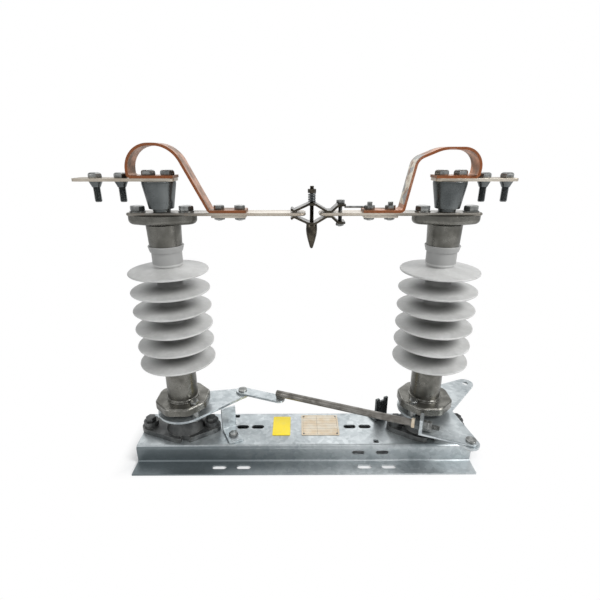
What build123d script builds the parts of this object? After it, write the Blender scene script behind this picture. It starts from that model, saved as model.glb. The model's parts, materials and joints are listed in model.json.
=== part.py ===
from build123d import *
import math
import os

# Two-post disconnect switch with a centre break, in millimetres.
# Origin at the middle of the base's underside, +X towards the right-hand post, +Z up.

# Driving sizes of the whole switch
POST_SPACING = 400.0
PLATE_FIT = 0.2
RUNNING_FIT = 0.05
MOVING_GAP = 0.3

# Base channel
BASE_END_REACH = 71.0
BASE_WIDTH = 90.0
BASE_HEIGHT = 32.0
BASE_SHEET = 3.0
BASE_INNER_BEND = 3.0
FOOT_FLANGE = 29.0
FOOT_SLOT_BACK_NEAR = 64.0
FOOT_SLOT_BACK_FAR = 103.0
FOOT_SLOT_LENGTH = 23.0
FOOT_SLOT_WIDTH = 9.0
FOOT_SLOT_INSET = 15.0
WEB_SLOT_BACK_NEAR = 73.0
WEB_SLOT_BACK_FAR = 112.0
WEB_SLOT_LENGTH = 20.0
WEB_SLOT_HEIGHT = 7.0
WEB_SLOT_RISE = 18.5
TOP_SLOT_BACK_NEAR = 95.0
TOP_SLOT_BACK_FAR = 121.0
TOP_SLOT_LENGTH = 21.0
TOP_SLOT_WIDTH = 10.0
TOP_SLOT_BACKSET = 4.0
CABLE_HOLE_BACK = 82.0
CABLE_HOLE_SIZE = 8.0
CABLE_HOLE_BACKSET = 34.0

# Bearing seats
SEAT_FOOT_RADIUS = 38.0
SEAT_OUTER_BOLT_INSET = 12.0
SEAT_INNER_EAR = 43.0
SEAT_EAR_RADIUS = 15.0
SEAT_FOOT_THICKNESS = 9.0
SEAT_LOBE_RADIUS = 12.0
SEAT_LOBE_HEIGHT = 9.0
SEAT_DRUM_FOOT_RADIUS = 32.0
SEAT_DRUM_TOP_RADIUS = 19.0
SEAT_NOTCH_WIDTH = 13.0
SEAT_NOTCH_DEPTH = 8.0
SEAT_NOTCH_PLACE = 6.0
SEAT_BORE_FLOOR = 12.0
SEAT_BOLT_RADIUS = 5.0
SEAT_BOLT_HEAD_FLATS = 15.0
SEAT_BOLT_HEAD_HEIGHT = 7.0
SEAT_BOLT_NUT_HEIGHT = 6.0

# Rotating posts, from the bottom up
LEVER_BOTTOM = 72.0
LEVER_THICKNESS = 4.0
LEVER_RADIUS = 102.0
LEVER_REST_ANGLE = 25.5
LEVER_HUB_RADIUS = 42.0
LEVER_TIP_RADIUS = 13.0
SHAFT_RADIUS = 14.0
SHAFT_LENGTH = 26.0
NECK_RADIUS = 26.0
NECK_HEIGHT = 10.0
BOTTOM_FLANGE_WIDTH = 83.0
BOTTOM_FLANGE_CORNER = 15.0
BOTTOM_FLANGE_THICKNESS = 13.0
BOTTOM_FLANGE_BEVEL = 2.0
BOTTOM_STEP_RADIUS = 26.0
BOTTOM_STEP_HEIGHT = 3.0
BOTTOM_SLEEVE_RADIUS = 24.0
BOTTOM_SLEEVE_TOP = 160.0
FLANGE_BOLT_CIRCLE = 34.0
FLANGE_BOLT_RADIUS = 4.0
FLANGE_BOLT_ANGLE = 44.5
FLANGE_SPACER_RADIUS = 6.5

# Insulators
CORE_RADIUS = 18.5
SHED_RADIUS = 57.5
SHED_COUNT = 6
SHED_PITCH = 28.9
LOWEST_SHED_RIM = 169.3
SHED_RIM_RADIUS = 1.6
SHED_ROOT_RISE = 7.0
SHED_ROOT_FALL = 3.5
SHED_SINK = 1.0
INSULATOR_NECK_RADIUS = 21.5
INSULATOR_NECK_TOP = 343.0
COLLAR_RADIUS = 25.6
COLLAR_HEIGHT = 9.0
COLLAR_TAPER = 2.5

# Top casting that carries the blade and the swivelling cup
CAP_FOOT_RADIUS = 23.0
CAP_HEAD_RADIUS = 24.2
TOP_FLANGE_BOTTOM = 382.0
TOP_FLANGE_THICKNESS = 13.0
TOP_FLANGE_MIDDLE_RADIUS = 27.0
TOP_EAR_PLACE = 34.0
TOP_EAR_RADIUS = 14.0
TOP_FLANGE_ROUNDING = 7.0
PIVOT_RADIUS = 8.0
PIVOT_RISE = 26.0
EAR_BOLT_RADIUS = 5.0
EAR_BOLT_WASHER = 1.5
EAR_BOLT_WASHER_RADIUS = 11.0
EAR_BOLT_HEAD_FLATS = 18.0
EAR_BOLT_HEAD_HEIGHT = 7.0
EAR_BOLT_DEPTH = 9.0

# Blades
BLADE_WIDTH = 32.0
BLADE_THICKNESS = 4.0
BLADE_TAIL = 47.0
LEFT_BLADE_TIP = 1.5
RIGHT_BLADE_TIP = 20.0
BLADE_TIP_CHAMFER = 1.2
BLADE_CORNER = 8.0

# Terminals
CUP_HEIGHT = 37.0
CUP_FOOT_RADIUS = 17.0
CUP_HEAD_RADIUS = 22.8
CUP_FOOT_BOSS_RADIUS = 12.0
CUP_FOOT_BOSS_HEIGHT = 4.7
CUP_SHOULDER = 4.0
BAR_WIDTH = 30.0
BAR_THICKNESS = 4.0
LEFT_BAR_REACH = 113.0
RIGHT_BAR_REACH = 88.0
BAR_HEEL = 24.0
BAR_CORNER = 6.0
LEFT_STUD_NEAR = 51.0
LEFT_STUD_SPACING = 35.0
RIGHT_STUD_NEAR = 46.0
RIGHT_STUD_SPACING = 31.0
STUD_RADIUS = 5.0
STUD_DROP = 28.0
STUD_HEAD_FLATS = 16.5
STUD_HEAD_HEIGHT = 7.0
STUD_COLLAR_RADIUS = 9.0
STUD_COLLAR_FOOT_RADIUS = 5.6
STUD_COLLAR_HEIGHT = 8.0
CUP_BOLT_PLACE = 13.0
CUP_BOLT_RADIUS = 4.5
CUP_BOLT_DEPTH = 12.0
CUP_BOLT_HEAD_FLATS = 17.0
CUP_BOLT_HEAD_HEIGHT = 7.0

# Flexible copper straps
STRAP_THICKNESS = 3.6
STRAP_WIDTH = 29.0
STRAP_FOOT_BEND = 5.0
STRAP_HEEL_BEND = 5.0
LEFT_STRAP_RISE = 41.0
LEFT_STRAP_BULGE = 36.5
LEFT_STRAP_SHOULDER = -24.5
LEFT_STRAP_FOOT = -68.5
LEFT_LOOP_SHARE = 0.78
LEFT_SHOULDER_BEND = 38.0
RIGHT_STRAP_RISE = 36.0
RIGHT_STRAP_BULGE = 37.0
RIGHT_STRAP_SHOULDER = -18.0
RIGHT_STRAP_KNEE = -51.0
RIGHT_STRAP_KNEE_DROP = 13.5
RIGHT_STRAP_FOOT = -64.5
RIGHT_LOOP_SHARE = 0.68
RIGHT_SHOULDER_BEND = 45.0
RIGHT_KNEE_BEND = 16.0
STRAP_BLADE_END = 119.0
CLAMP_BOLT_NEAR = 80.0
CLAMP_BOLT_FAR = 109.0
CLAMP_BOLT_RADIUS = 4.0
CLAMP_HEAD_FLATS = 13.0
CLAMP_HEAD_HEIGHT = 5.5
CLAMP_PLATE_THICKNESS = 3.0
CLAMP_PLATE_LENGTH = 48.0
CLAMP_PLATE_WIDTH = 26.0
CLAMP_NUT_HEIGHT = 5.0
RIGHT_CLAMP_POST = 10.0

# Centre contact, carried by the right-hand blade
FINGER_THICKNESS = 3.0
FINGER_WIDTH = 24.0
FINGER_MOUTH = -15.0
FINGER_LIP = 4.0
FINGER_LIP_RISE = 3.0
FINGER_ARCH = 9.5
FINGER_PINCH = 34.0
FINGER_BOLT_PLACE = 50.0
FINGER_HOOK_DROP = 8.5
FINGER_HOOK_REACH = 6.5
FINGER_LIP_BEND = 2.0
FINGER_FOLD_BEND = 3.0
SPRING_BOLT_PLACE = 10.0
SPRING_BOLT_RADIUS = 3.0
SPRING_HEIGHT = 13.0
SPRING_RADIUS = 5.5
SPRING_CAP_FLATS = 10.0
SPRING_CAP_HEIGHT = 5.5
SPRING_TIP_RISE = 4.0
GUIDE_HEAD_RADIUS = 7.6
GUIDE_HEIGHT = 36.0
GUIDE_BELLY_RADIUS = 8.0
GUIDE_BELLY_DROP = 9.0
GUIDE_TIP_RADIUS = 2.2
HOLD_BOLT_RADIUS = 3.0
HOLD_HEAD_FLATS = 10.0
HOLD_HEAD_HEIGHT = 5.0
ROD_RADIUS = 1.5
ROD_RISE = 6.5

# Link between the two levers
LINK_GAP = 0.3
LINK_STRAP_THICKNESS = 3.5
LINK_STRAP_WIDTH = 20.0
LINK_STRAP_HEAD = 12.0
LEFT_LINK_STRAP_LENGTH = 80.0
TUBE_RADIUS = 5.6
TUBE_OVERLAP = 14.0
TUBE_RISE = 9.0
LUG_DISTANCE = 74.0
LUG_THICKNESS = 5.0
LUG_HEIGHT = 27.0
BUSHING_RADIUS = 9.0
BUSHING_LENGTH = 12.0
LINK_THREAD_RADIUS = 4.0
LINK_THREAD_END = 24.0
LINK_NUT_FLATS = 14.0
LINK_NUT_HEIGHT = 6.5
LINK_PIN_RADIUS = 5.0
LINK_PIN_HEAD_RADIUS = 7.5
LINK_PIN_HEAD_HEIGHT = 2.5
LINK_PIN_NUT_RADIUS = 8.0
LINK_PIN_NUT_HEIGHT = 4.5

# Drive arm on the right-hand lever
DRIVE_ARM_RADIUS = 122.0
DRIVE_ARM_ANGLE = 36.0
DRIVE_ARM_TIP_RADIUS = 14.0
DRIVE_HOLE_RADIUS = 5.5

# Stops on the base
STOP_WIDTH = 24.0
STOP_SHEET = 4.0
STOP_BEND = 3.0
LEFT_STOP_FOOT = 43.0
RIGHT_STOP_FOOT = 22.0
STOP_BELOW_LEVER_TOP = 2.0
STOP_ABOVE_LEVER = 2.0
STOP_NOTCH_WIDTH = 10.0
STOP_NOTCH_DEPTH = 5.0
LEFT_STOP_BOLT_BACK = 16.0
RIGHT_STOP_BOLT_BACK = 9.5
STOP_BOLT_RADIUS = 4.0
LEFT_STOP_ALONG = 43.0
RIGHT_STOP_ALONG = 23.0
CLOSED_STOP_GAP = 1.0
OPEN_STOP_GAP = 12.0

# Plates on the base's top
NAME_PLATE_LENGTH = 64.0
NAME_PLATE_WIDTH = 54.0
NAME_PLATE_MIDDLE = 28.0
NAME_PLATE_BACKSET = 8.0
LABEL_LENGTH = 30.0
LABEL_WIDTH = 50.0
LABEL_MIDDLE = -38.0
LABEL_BACKSET = 6.0
PLATE_THICKNESS = 1.0
PLATE_CORNER = 2.0

# Heights and places worked out from the sizes above
POST_PLACE = POST_SPACING / 2
BASE_LENGTH = POST_SPACING + 2 * BASE_END_REACH
SEAT_OUTER_EAR = BASE_END_REACH - SEAT_OUTER_BOLT_INSET
SEAT_TOP = LEVER_BOTTOM - MOVING_GAP
LEVER_TOP = LEVER_BOTTOM + LEVER_THICKNESS
FLANGE_BOTTOM = LEVER_TOP + NECK_HEIGHT
FLANGE_TOP = FLANGE_BOTTOM + BOTTOM_FLANGE_THICKNESS
CAP_BOTTOM = INSULATOR_NECK_TOP + COLLAR_HEIGHT
BLADE_BOTTOM = TOP_FLANGE_BOTTOM + TOP_FLANGE_THICKNESS
BLADE_TOP = BLADE_BOTTOM + BLADE_THICKNESS
CUP_BOTTOM = BLADE_TOP + CUP_FOOT_BOSS_HEIGHT
CUP_TOP = CUP_BOTTOM + CUP_HEIGHT
BAR_TOP = CUP_TOP + BAR_THICKNESS
STRAP_TOP = BAR_TOP + STRAP_THICKNESS
LINK_BOTTOM = LEVER_TOP + LINK_GAP
LINK_STRAP_TOP = LINK_BOTTOM + LINK_STRAP_THICKNESS
SIDES = (-1, 1)
HALF_TURN = 180.0
QUARTER_TURN = HALF_TURN / 2
OCTAGON_TURN = HALF_TURN / 8
HEX_SIDES = 6
HEX_TURN = HALF_TURN / HEX_SIDES
HEX_CORNER = 1 / math.cos(math.radians(HEX_TURN))
CUT_MARGIN = 1.0


def post_place(side):
    """Place along X of one post; side is -1 for the left post and 1 for the right one."""
    return side * POST_PLACE


def side_name(side):
    return "left" if side < 0 else "right"


def turned(distance, degrees):
    """Flat offset of a point at a distance and an angle from +X."""
    angle = math.radians(degrees)
    return Vector(distance * math.cos(angle), distance * math.sin(angle))


def lever_pin(side):
    """Place of the link's pivot on one lever: the left one leans back, the right one forwards."""
    angle = LEVER_REST_ANGLE if side < 0 else LEVER_REST_ANGLE - QUARTER_TURN
    return Vector(post_place(side), 0) + turned(LEVER_RADIUS, angle)


def disc(radius, bottom, height, x=0.0, y=0.0):
    return Pos(x, y, bottom) * extrude(Circle(radius), amount=height)


def hole(radius, bottom, depth, x=0.0, y=0.0):
    """Cutter for a round hole that runs a little past both faces."""
    return disc(radius, bottom - CUT_MARGIN, depth + 2 * CUT_MARGIN, x, y)


def lying(radius, start, end, y=0.0, height=0.0):
    """Round bar along X."""
    bar = Rot(0, QUARTER_TURN, 0) * Cylinder(radius, end - start)
    return Pos((start + end) / 2, y, height) * bar


def block(length, width, height, x, y, bottom):
    return Pos(x, y, bottom + height / 2) * Box(length, width, height)


def hexagon(flats, bottom, height, x=0.0, y=0.0):
    """Hexagon prism with two of its corners along Y."""
    outline = RegularPolygon(flats / 2 * HEX_CORNER, HEX_SIDES)
    return Pos(x, y, bottom) * Rot(0, 0, HEX_TURN) * extrude(outline, amount=height)


def slot_cut(length, width, bottom, depth, x, y):
    """Cutter for a slot along X that runs a little past both faces."""
    cutter = extrude(SlotOverall(length, width), amount=depth + 2 * CUT_MARGIN)
    return Pos(x, y, bottom - CUT_MARGIN) * cutter


def rounded_face(corners):
    """Flat face inside straight edges; each corner is x, y and the radius of its round."""
    count = len(corners)
    arrivals = []
    departures = []
    rounds = []
    for index, (x, y, radius) in enumerate(corners):
        here = Vector(x, y)
        before = (Vector(*corners[index - 1][:2]) - here).normalized()
        after = (Vector(*corners[(index + 1) % count][:2]) - here).normalized()
        if radius == 0:
            arrivals.append(here)
            departures.append(here)
            continue
        half_turn = math.radians(before.get_angle(after)) / 2
        reach = radius / math.tan(half_turn)
        bisector = (before + after).normalized()
        middle = here + bisector * (radius / math.sin(half_turn) - radius)
        arrivals.append(here + before * reach)
        departures.append(here + after * reach)
        rounds.append(ThreePointArc(arrivals[-1], middle, departures[-1]))
    sides = [Line(departures[i], arrivals[(i + 1) % count]) for i in range(count)]
    return make_face(sides + rounds)


def tapered_face(start, start_radius, end, end_radius):
    """Flat face with two round ends and straight edges tangent to both."""
    along = end - start
    lean = math.degrees(math.acos((start_radius - end_radius) / along.length))
    heading = math.degrees(math.atan2(along.Y, along.X))
    left_start = start + turned(start_radius, heading + lean)
    left_end = end + turned(end_radius, heading + lean)
    right_start = start + turned(start_radius, heading - lean)
    right_end = end + turned(end_radius, heading - lean)
    return make_face(
        [
            Line(left_start, left_end),
            ThreePointArc(left_end, end + turned(end_radius, heading), right_end),
            Line(right_end, right_start),
            ThreePointArc(right_start, start - turned(start_radius, heading), left_start),
        ]
    )


def bent_strip(points, bends, thickness, width):
    """Strip of sheet bent in the XZ plane round a middle line with a bend at each inner point."""
    route = [Vector(*point) for point in points]
    legs = [(after - before).normalized() for before, after in zip(route, route[1:])]
    arrivals = [legs[0]] + legs
    departures = legs + [legs[-1]]
    bends = [0] + bends + [0]
    half = thickness / 2
    left_edge = []
    right_edge = []
    for here, arrival, departure, bend in zip(route, arrivals, departures, bends):
        normals = Vector(-arrival.Y - departure.Y, arrival.X + departure.X)
        mitre = normals * (half / (1 + arrival.dot(departure)))
        lean = math.copysign(half, arrival.X * departure.Y - arrival.Y * departure.X)
        left = here + mitre
        right = here - mitre
        left_edge.append((left.X, left.Y, max(bend - lean, 0) if bend else 0))
        right_edge.append((right.X, right.Y, max(bend + lean, 0) if bend else 0))
    profile = Plane.XZ * rounded_face(left_edge + right_edge[::-1])
    return extrude(profile, amount=width / 2, both=True)


def make_base_channel():
    outer = BASE_WIDTH / 2
    inner = outer - BASE_SHEET
    edge = outer + FOOT_FLANGE
    outer_bend = BASE_INNER_BEND + BASE_SHEET
    corners = [
        (-edge, 0, 0),
        (-inner, 0, outer_bend),
        (-inner, BASE_HEIGHT - BASE_SHEET, BASE_INNER_BEND),
        (inner, BASE_HEIGHT - BASE_SHEET, BASE_INNER_BEND),
        (inner, 0, outer_bend),
        (edge, 0, 0),
        (edge, BASE_SHEET, 0),
        (outer, BASE_SHEET, BASE_INNER_BEND),
        (outer, BASE_HEIGHT, outer_bend),
        (-outer, BASE_HEIGHT, outer_bend),
        (-outer, BASE_SHEET, BASE_INNER_BEND),
        (-edge, BASE_SHEET, 0),
    ]
    section = Plane.YZ * rounded_face(corners)
    channel = extrude(section, amount=BASE_LENGTH / 2, both=True)
    web_bottom = BASE_HEIGHT - BASE_SHEET
    for back in (WEB_SLOT_BACK_NEAR, WEB_SLOT_BACK_FAR):
        side_slot = Plane.XZ * SlotOverall(WEB_SLOT_LENGTH, WEB_SLOT_HEIGHT)
        cutter = extrude(side_slot, amount=BASE_WIDTH, both=True)
        channel -= Pos(POST_PLACE - back, 0, WEB_SLOT_RISE) * cutter
    for side in SIDES:
        for back in (FOOT_SLOT_BACK_NEAR, FOOT_SLOT_BACK_FAR):
            for front in SIDES:
                y = front * (edge - FOOT_SLOT_INSET)
                channel -= slot_cut(
                    FOOT_SLOT_LENGTH, FOOT_SLOT_WIDTH, 0, BASE_SHEET, side * (POST_PLACE - back), y
                )
        for back in (TOP_SLOT_BACK_NEAR, TOP_SLOT_BACK_FAR):
            channel -= slot_cut(
                TOP_SLOT_LENGTH, TOP_SLOT_WIDTH, web_bottom, BASE_SHEET,
                side * (POST_PLACE - back), TOP_SLOT_BACKSET,
            )
        channel -= block(
            CABLE_HOLE_SIZE, CABLE_HOLE_SIZE, BASE_SHEET + 2 * CUT_MARGIN,
            side * (POST_PLACE - CABLE_HOLE_BACK), -side * CABLE_HOLE_BACKSET,
            web_bottom - CUT_MARGIN,
        )
        for ear in seat_ears(side):
            place = post_place(side) + ear
            channel -= hole(SEAT_BOLT_RADIUS + PLATE_FIT, web_bottom, BASE_SHEET, place)
        foot = stop_bolt_place(side)
        channel -= hole(STOP_BOLT_RADIUS + PLATE_FIT, web_bottom, BASE_SHEET, foot.X, foot.Y)
    return channel


def seat_ears(side):
    """Offsets of the seat's two ears from the post's axis; the outer one reaches further."""
    return side * SEAT_OUTER_EAR, -side * SEAT_INNER_EAR


def make_bearing_seat(side):
    foot = None
    for ear in seat_ears(side):
        arm = tapered_face(Vector(0, 0), SEAT_FOOT_RADIUS, Vector(ear, 0), SEAT_EAR_RADIUS)
        arm = extrude(arm, amount=SEAT_FOOT_THICKNESS)
        foot = arm if foot is None else foot + arm
    for ear in seat_ears(side):
        foot += disc(SEAT_LOBE_RADIUS, SEAT_FOOT_THICKNESS, SEAT_LOBE_HEIGHT, ear)
    drum_height = SEAT_TOP - BASE_HEIGHT - SEAT_FOOT_THICKNESS
    drum = Cone(SEAT_DRUM_FOOT_RADIUS, SEAT_DRUM_TOP_RADIUS, drum_height)
    seat = foot + Pos(0, 0, SEAT_FOOT_THICKNESS + drum_height / 2) * drum
    notch_depth = SEAT_FOOT_RADIUS - SEAT_NOTCH_DEPTH / 2
    seat -= block(
        SEAT_NOTCH_WIDTH, SEAT_NOTCH_DEPTH, SEAT_FOOT_THICKNESS + 2 * CUT_MARGIN,
        SEAT_NOTCH_PLACE, -notch_depth, -CUT_MARGIN,
    )
    seat_height = SEAT_TOP - BASE_HEIGHT
    seat -= disc(SHAFT_RADIUS + RUNNING_FIT, SEAT_BORE_FLOOR, seat_height)
    for ear in seat_ears(side):
        seat -= hole(SEAT_BOLT_RADIUS + PLATE_FIT, 0, SEAT_FOOT_THICKNESS + SEAT_LOBE_HEIGHT, ear)
    return Pos(post_place(side), 0, BASE_HEIGHT) * seat


def through_bolt(radius, flats, head_height, seat, grip, nut_height, x, y):
    """Hexagon bolt with its head on seat and its nut under a grip below it."""
    bolt = hexagon(flats, seat, head_height, x, y)
    bolt += disc(radius, seat - grip - nut_height, grip + nut_height, x, y)
    bolt += hexagon(flats, seat - grip - nut_height, nut_height, x, y)
    return bolt


def make_base_bolts():
    bolts = []
    lobe_top = BASE_HEIGHT + SEAT_FOOT_THICKNESS + SEAT_LOBE_HEIGHT
    grip = lobe_top - BASE_HEIGHT + BASE_SHEET
    for side in SIDES:
        for ear in seat_ears(side):
            place = post_place(side) + ear
            bolts.append(
                through_bolt(
                    SEAT_BOLT_RADIUS, SEAT_BOLT_HEAD_FLATS, SEAT_BOLT_HEAD_HEIGHT,
                    lobe_top, grip, SEAT_BOLT_NUT_HEIGHT, place, 0,
                )
            )
        foot = stop_bolt_place(side)
        bolts.append(
            through_bolt(
                STOP_BOLT_RADIUS, CLAMP_HEAD_FLATS, CLAMP_HEAD_HEIGHT,
                BASE_HEIGHT + STOP_SHEET, STOP_SHEET + BASE_SHEET, CLAMP_NUT_HEIGHT,
                foot.X, foot.Y,
            )
        )
    return bolts


def lever_face(side):
    """Broad plate under the post that narrows to the link's pivot."""
    hub = Vector(post_place(side), 0)
    return tapered_face(hub, LEVER_HUB_RADIUS, lever_pin(side), LEVER_TIP_RADIUS)


def lever_edge_angle():
    """Angle between the lever's middle line and either of its straight edges."""
    return math.degrees(math.asin((LEVER_HUB_RADIUS - LEVER_TIP_RADIUS) / LEVER_RADIUS))


def stop_face(side):
    """Middle of the stop's face at its foot, and the heading that the foot runs along.

    The left stop stands before the left lever's front edge when the switch is closed. The
    right one stands behind the place that the right lever reaches when the switch is open.
    """
    if side < 0:
        middle_line = LEVER_REST_ANGLE
        along = LEFT_STOP_ALONG
        gap = CLOSED_STOP_GAP
    else:
        middle_line = LEVER_REST_ANGLE - HALF_TURN
        along = RIGHT_STOP_ALONG
        gap = OPEN_STOP_GAP
    edge_heading = middle_line - QUARTER_TURN + lever_edge_angle()
    edge_start = Vector(post_place(side), 0) + turned(LEVER_HUB_RADIUS + gap, edge_heading)
    corner = edge_start + turned(along, middle_line + lever_edge_angle())
    return corner + turned(STOP_WIDTH / 2, middle_line), middle_line - QUARTER_TURN


def stop_foot(side):
    """Length of the stop's foot and distance of its bolt from the stop's face."""
    if side < 0:
        return LEFT_STOP_FOOT, LEFT_STOP_FOOT - LEFT_STOP_BOLT_BACK
    return RIGHT_STOP_FOOT, RIGHT_STOP_FOOT - RIGHT_STOP_BOLT_BACK


def stop_bolt_place(side):
    face, heading = stop_face(side)
    _, bolt_distance = stop_foot(side)
    return face + turned(bolt_distance, heading)


def make_stop_bracket(side):
    face, heading = stop_face(side)
    foot, bolt_distance = stop_foot(side)
    half = STOP_SHEET / 2
    top = LEVER_TOP - STOP_BELOW_LEVER_TOP if side < 0 else LEVER_TOP + STOP_ABOVE_LEVER
    points = [(half, top), (half, BASE_HEIGHT + half), (foot, BASE_HEIGHT + half)]
    bracket = bent_strip(points, [STOP_BEND], STOP_SHEET, STOP_WIDTH)
    if side > 0:
        bracket -= block(
            STOP_SHEET + 2 * CUT_MARGIN, STOP_NOTCH_WIDTH, STOP_NOTCH_DEPTH + CUT_MARGIN,
            half, 0, top - STOP_NOTCH_DEPTH,
        )
    bracket -= hole(STOP_BOLT_RADIUS + PLATE_FIT, BASE_HEIGHT, STOP_SHEET, bolt_distance)
    return Pos(face.X, face.Y, 0) * Rot(0, 0, heading) * bracket


def make_plate(length, width, x, y):
    outline = RectangleRounded(length, width, PLATE_CORNER)
    return Pos(x, y, BASE_HEIGHT) * extrude(outline, amount=PLATE_THICKNESS)


def make_lever(side):
    outline = lever_face(side)
    hub = Vector(post_place(side), 0)
    if side > 0:
        tip = hub + turned(DRIVE_ARM_RADIUS, DRIVE_ARM_ANGLE)
        outline += tapered_face(hub, LEVER_HUB_RADIUS, tip, DRIVE_ARM_TIP_RADIUS)
    lever = Pos(0, 0, LEVER_BOTTOM) * extrude(outline, amount=LEVER_THICKNESS)
    sheet = (LEVER_BOTTOM, LEVER_THICKNESS)
    lever -= hole(SHAFT_RADIUS + PLATE_FIT, *sheet, hub.X, hub.Y)
    for place in flange_bolt_places(side):
        lever -= hole(FLANGE_BOLT_RADIUS + PLATE_FIT, *sheet, place.X, place.Y)
    pin = lever_pin(side)
    if side > 0:
        lever -= hole(DRIVE_HOLE_RADIUS, *sheet, tip.X, tip.Y)
        lever -= hole(LINK_PIN_RADIUS + RUNNING_FIT, *sheet, pin.X, pin.Y)
    else:
        nut_bottom = LEVER_BOTTOM - LINK_PIN_NUT_HEIGHT
        lever += disc(LINK_PIN_NUT_RADIUS, nut_bottom, LINK_PIN_NUT_HEIGHT, pin.X, pin.Y)
    return lever


def flange_bolt_places(side):
    """Two bolts across the post, in mirror image on the two posts, clear of the link's end."""
    hub = Vector(post_place(side), 0)
    offset = turned(FLANGE_BOLT_CIRCLE, -FLANGE_BOLT_ANGLE)
    offset = Vector(-side * offset.X, offset.Y)
    return [hub + offset, hub - offset]


def make_bottom_fitting(side):
    """Casting with the shaft, the neck, the eight-cornered flange and the sleeve, in one."""
    fitting = disc(SHAFT_RADIUS, LEVER_TOP - SHAFT_LENGTH, SHAFT_LENGTH)
    fitting += disc(NECK_RADIUS, LEVER_TOP, NECK_HEIGHT)
    half = BOTTOM_FLANGE_WIDTH / 2
    corner = half * math.tan(math.radians(OCTAGON_TURN))
    outline = []
    for x, y in ((half, corner), (corner, half), (-corner, half), (-half, corner)):
        outline.append((x, y, BOTTOM_FLANGE_CORNER))
    for x, y in ((-half, -corner), (-corner, -half), (corner, -half), (half, -corner)):
        outline.append((x, y, BOTTOM_FLANGE_CORNER))
    flange = extrude(rounded_face(outline), amount=BOTTOM_FLANGE_THICKNESS)
    flange = chamfer(flange.faces().sort_by(Axis.Z)[-1].edges(), BOTTOM_FLANGE_BEVEL)
    fitting += Pos(0, 0, FLANGE_BOTTOM) * flange
    fitting += disc(BOTTOM_STEP_RADIUS, FLANGE_TOP, BOTTOM_STEP_HEIGHT)
    sleeve_height = BOTTOM_SLEEVE_TOP - FLANGE_TOP
    fitting += disc(BOTTOM_SLEEVE_RADIUS, FLANGE_TOP, sleeve_height)
    fitting = Pos(post_place(side), 0, 0) * fitting
    for place in flange_bolt_places(side):
        fitting -= hole(
            FLANGE_BOLT_RADIUS + PLATE_FIT, FLANGE_BOTTOM, BOTTOM_FLANGE_THICKNESS, place.X, place.Y
        )
    return fitting


def make_flange_bolts(side):
    """Bolts through flange and lever, with a spacer between the two."""
    bolts = []
    grip = FLANGE_TOP - LEVER_BOTTOM
    for place in flange_bolt_places(side):
        bolt = through_bolt(
            FLANGE_BOLT_RADIUS, CLAMP_HEAD_FLATS, CLAMP_HEAD_HEIGHT, FLANGE_TOP, grip,
            CLAMP_NUT_HEIGHT, place.X, place.Y,
        )
        bolts.append(bolt + disc(FLANGE_SPACER_RADIUS, LEVER_TOP, NECK_HEIGHT, place.X, place.Y))
    return bolts


def make_insulator(side):
    """Silicone housing: a core, thin sloping sheds, a neck and the collar at its top."""
    top_rim = LOWEST_SHED_RIM + (SHED_COUNT - 1) * SHED_PITCH
    housing = disc(CORE_RADIUS, BOTTOM_SLEEVE_TOP, top_rim - BOTTOM_SLEEVE_TOP)
    housing += disc(INSULATOR_NECK_RADIUS, top_rim, INSULATOR_NECK_TOP - top_rim)
    collar = Cone(COLLAR_RADIUS - COLLAR_TAPER, COLLAR_RADIUS, COLLAR_HEIGHT)
    housing += Pos(0, 0, INSULATOR_NECK_TOP + COLLAR_HEIGHT / 2) * collar
    for index in range(SHED_COUNT):
        rim = LOWEST_SHED_RIM + index * SHED_PITCH
        edge = SHED_RADIUS - SHED_RIM_RADIUS
        root = CORE_RADIUS - SHED_SINK
        shed = make_face(
            [
                Line((root, rim - SHED_ROOT_FALL), (edge, rim - SHED_RIM_RADIUS)),
                ThreePointArc(
                    (edge, rim - SHED_RIM_RADIUS), (SHED_RADIUS, rim), (edge, rim + SHED_RIM_RADIUS)
                ),
                Line((edge, rim + SHED_RIM_RADIUS), (root, rim + SHED_ROOT_RISE)),
                Line((root, rim + SHED_ROOT_RISE), (root, rim - SHED_ROOT_FALL)),
            ]
        )
        housing += revolve(Plane.XZ * shed, Axis.Z)
    return Pos(post_place(side), 0, 0) * housing


def make_top_casting(side):
    """Cap on the insulator, two-eared flange and the pin that the cup turns on, in one."""
    cap_height = TOP_FLANGE_BOTTOM - CAP_BOTTOM
    casting = Pos(0, 0, CAP_BOTTOM + cap_height / 2) * Cone(
        CAP_FOOT_RADIUS, CAP_HEAD_RADIUS, cap_height
    )
    flange = None
    for ear in SIDES:
        arm = tapered_face(
            Vector(0, 0), TOP_FLANGE_MIDDLE_RADIUS, Vector(ear * TOP_EAR_PLACE, 0), TOP_EAR_RADIUS
        )
        flange = arm if flange is None else flange + arm
    flange = extrude(flange, amount=TOP_FLANGE_THICKNESS)
    flange = fillet(flange.faces().sort_by(Axis.Z)[0].edges(), TOP_FLANGE_ROUNDING)
    casting += Pos(0, 0, TOP_FLANGE_BOTTOM) * flange
    casting += disc(PIVOT_RADIUS, BLADE_BOTTOM, BLADE_THICKNESS + PIVOT_RISE)
    for ear in SIDES:
        casting -= hole(
            EAR_BOLT_RADIUS + PLATE_FIT, BLADE_BOTTOM - EAR_BOLT_DEPTH, EAR_BOLT_DEPTH,
            ear * TOP_EAR_PLACE,
        )
    return Pos(post_place(side), 0, 0) * casting


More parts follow.
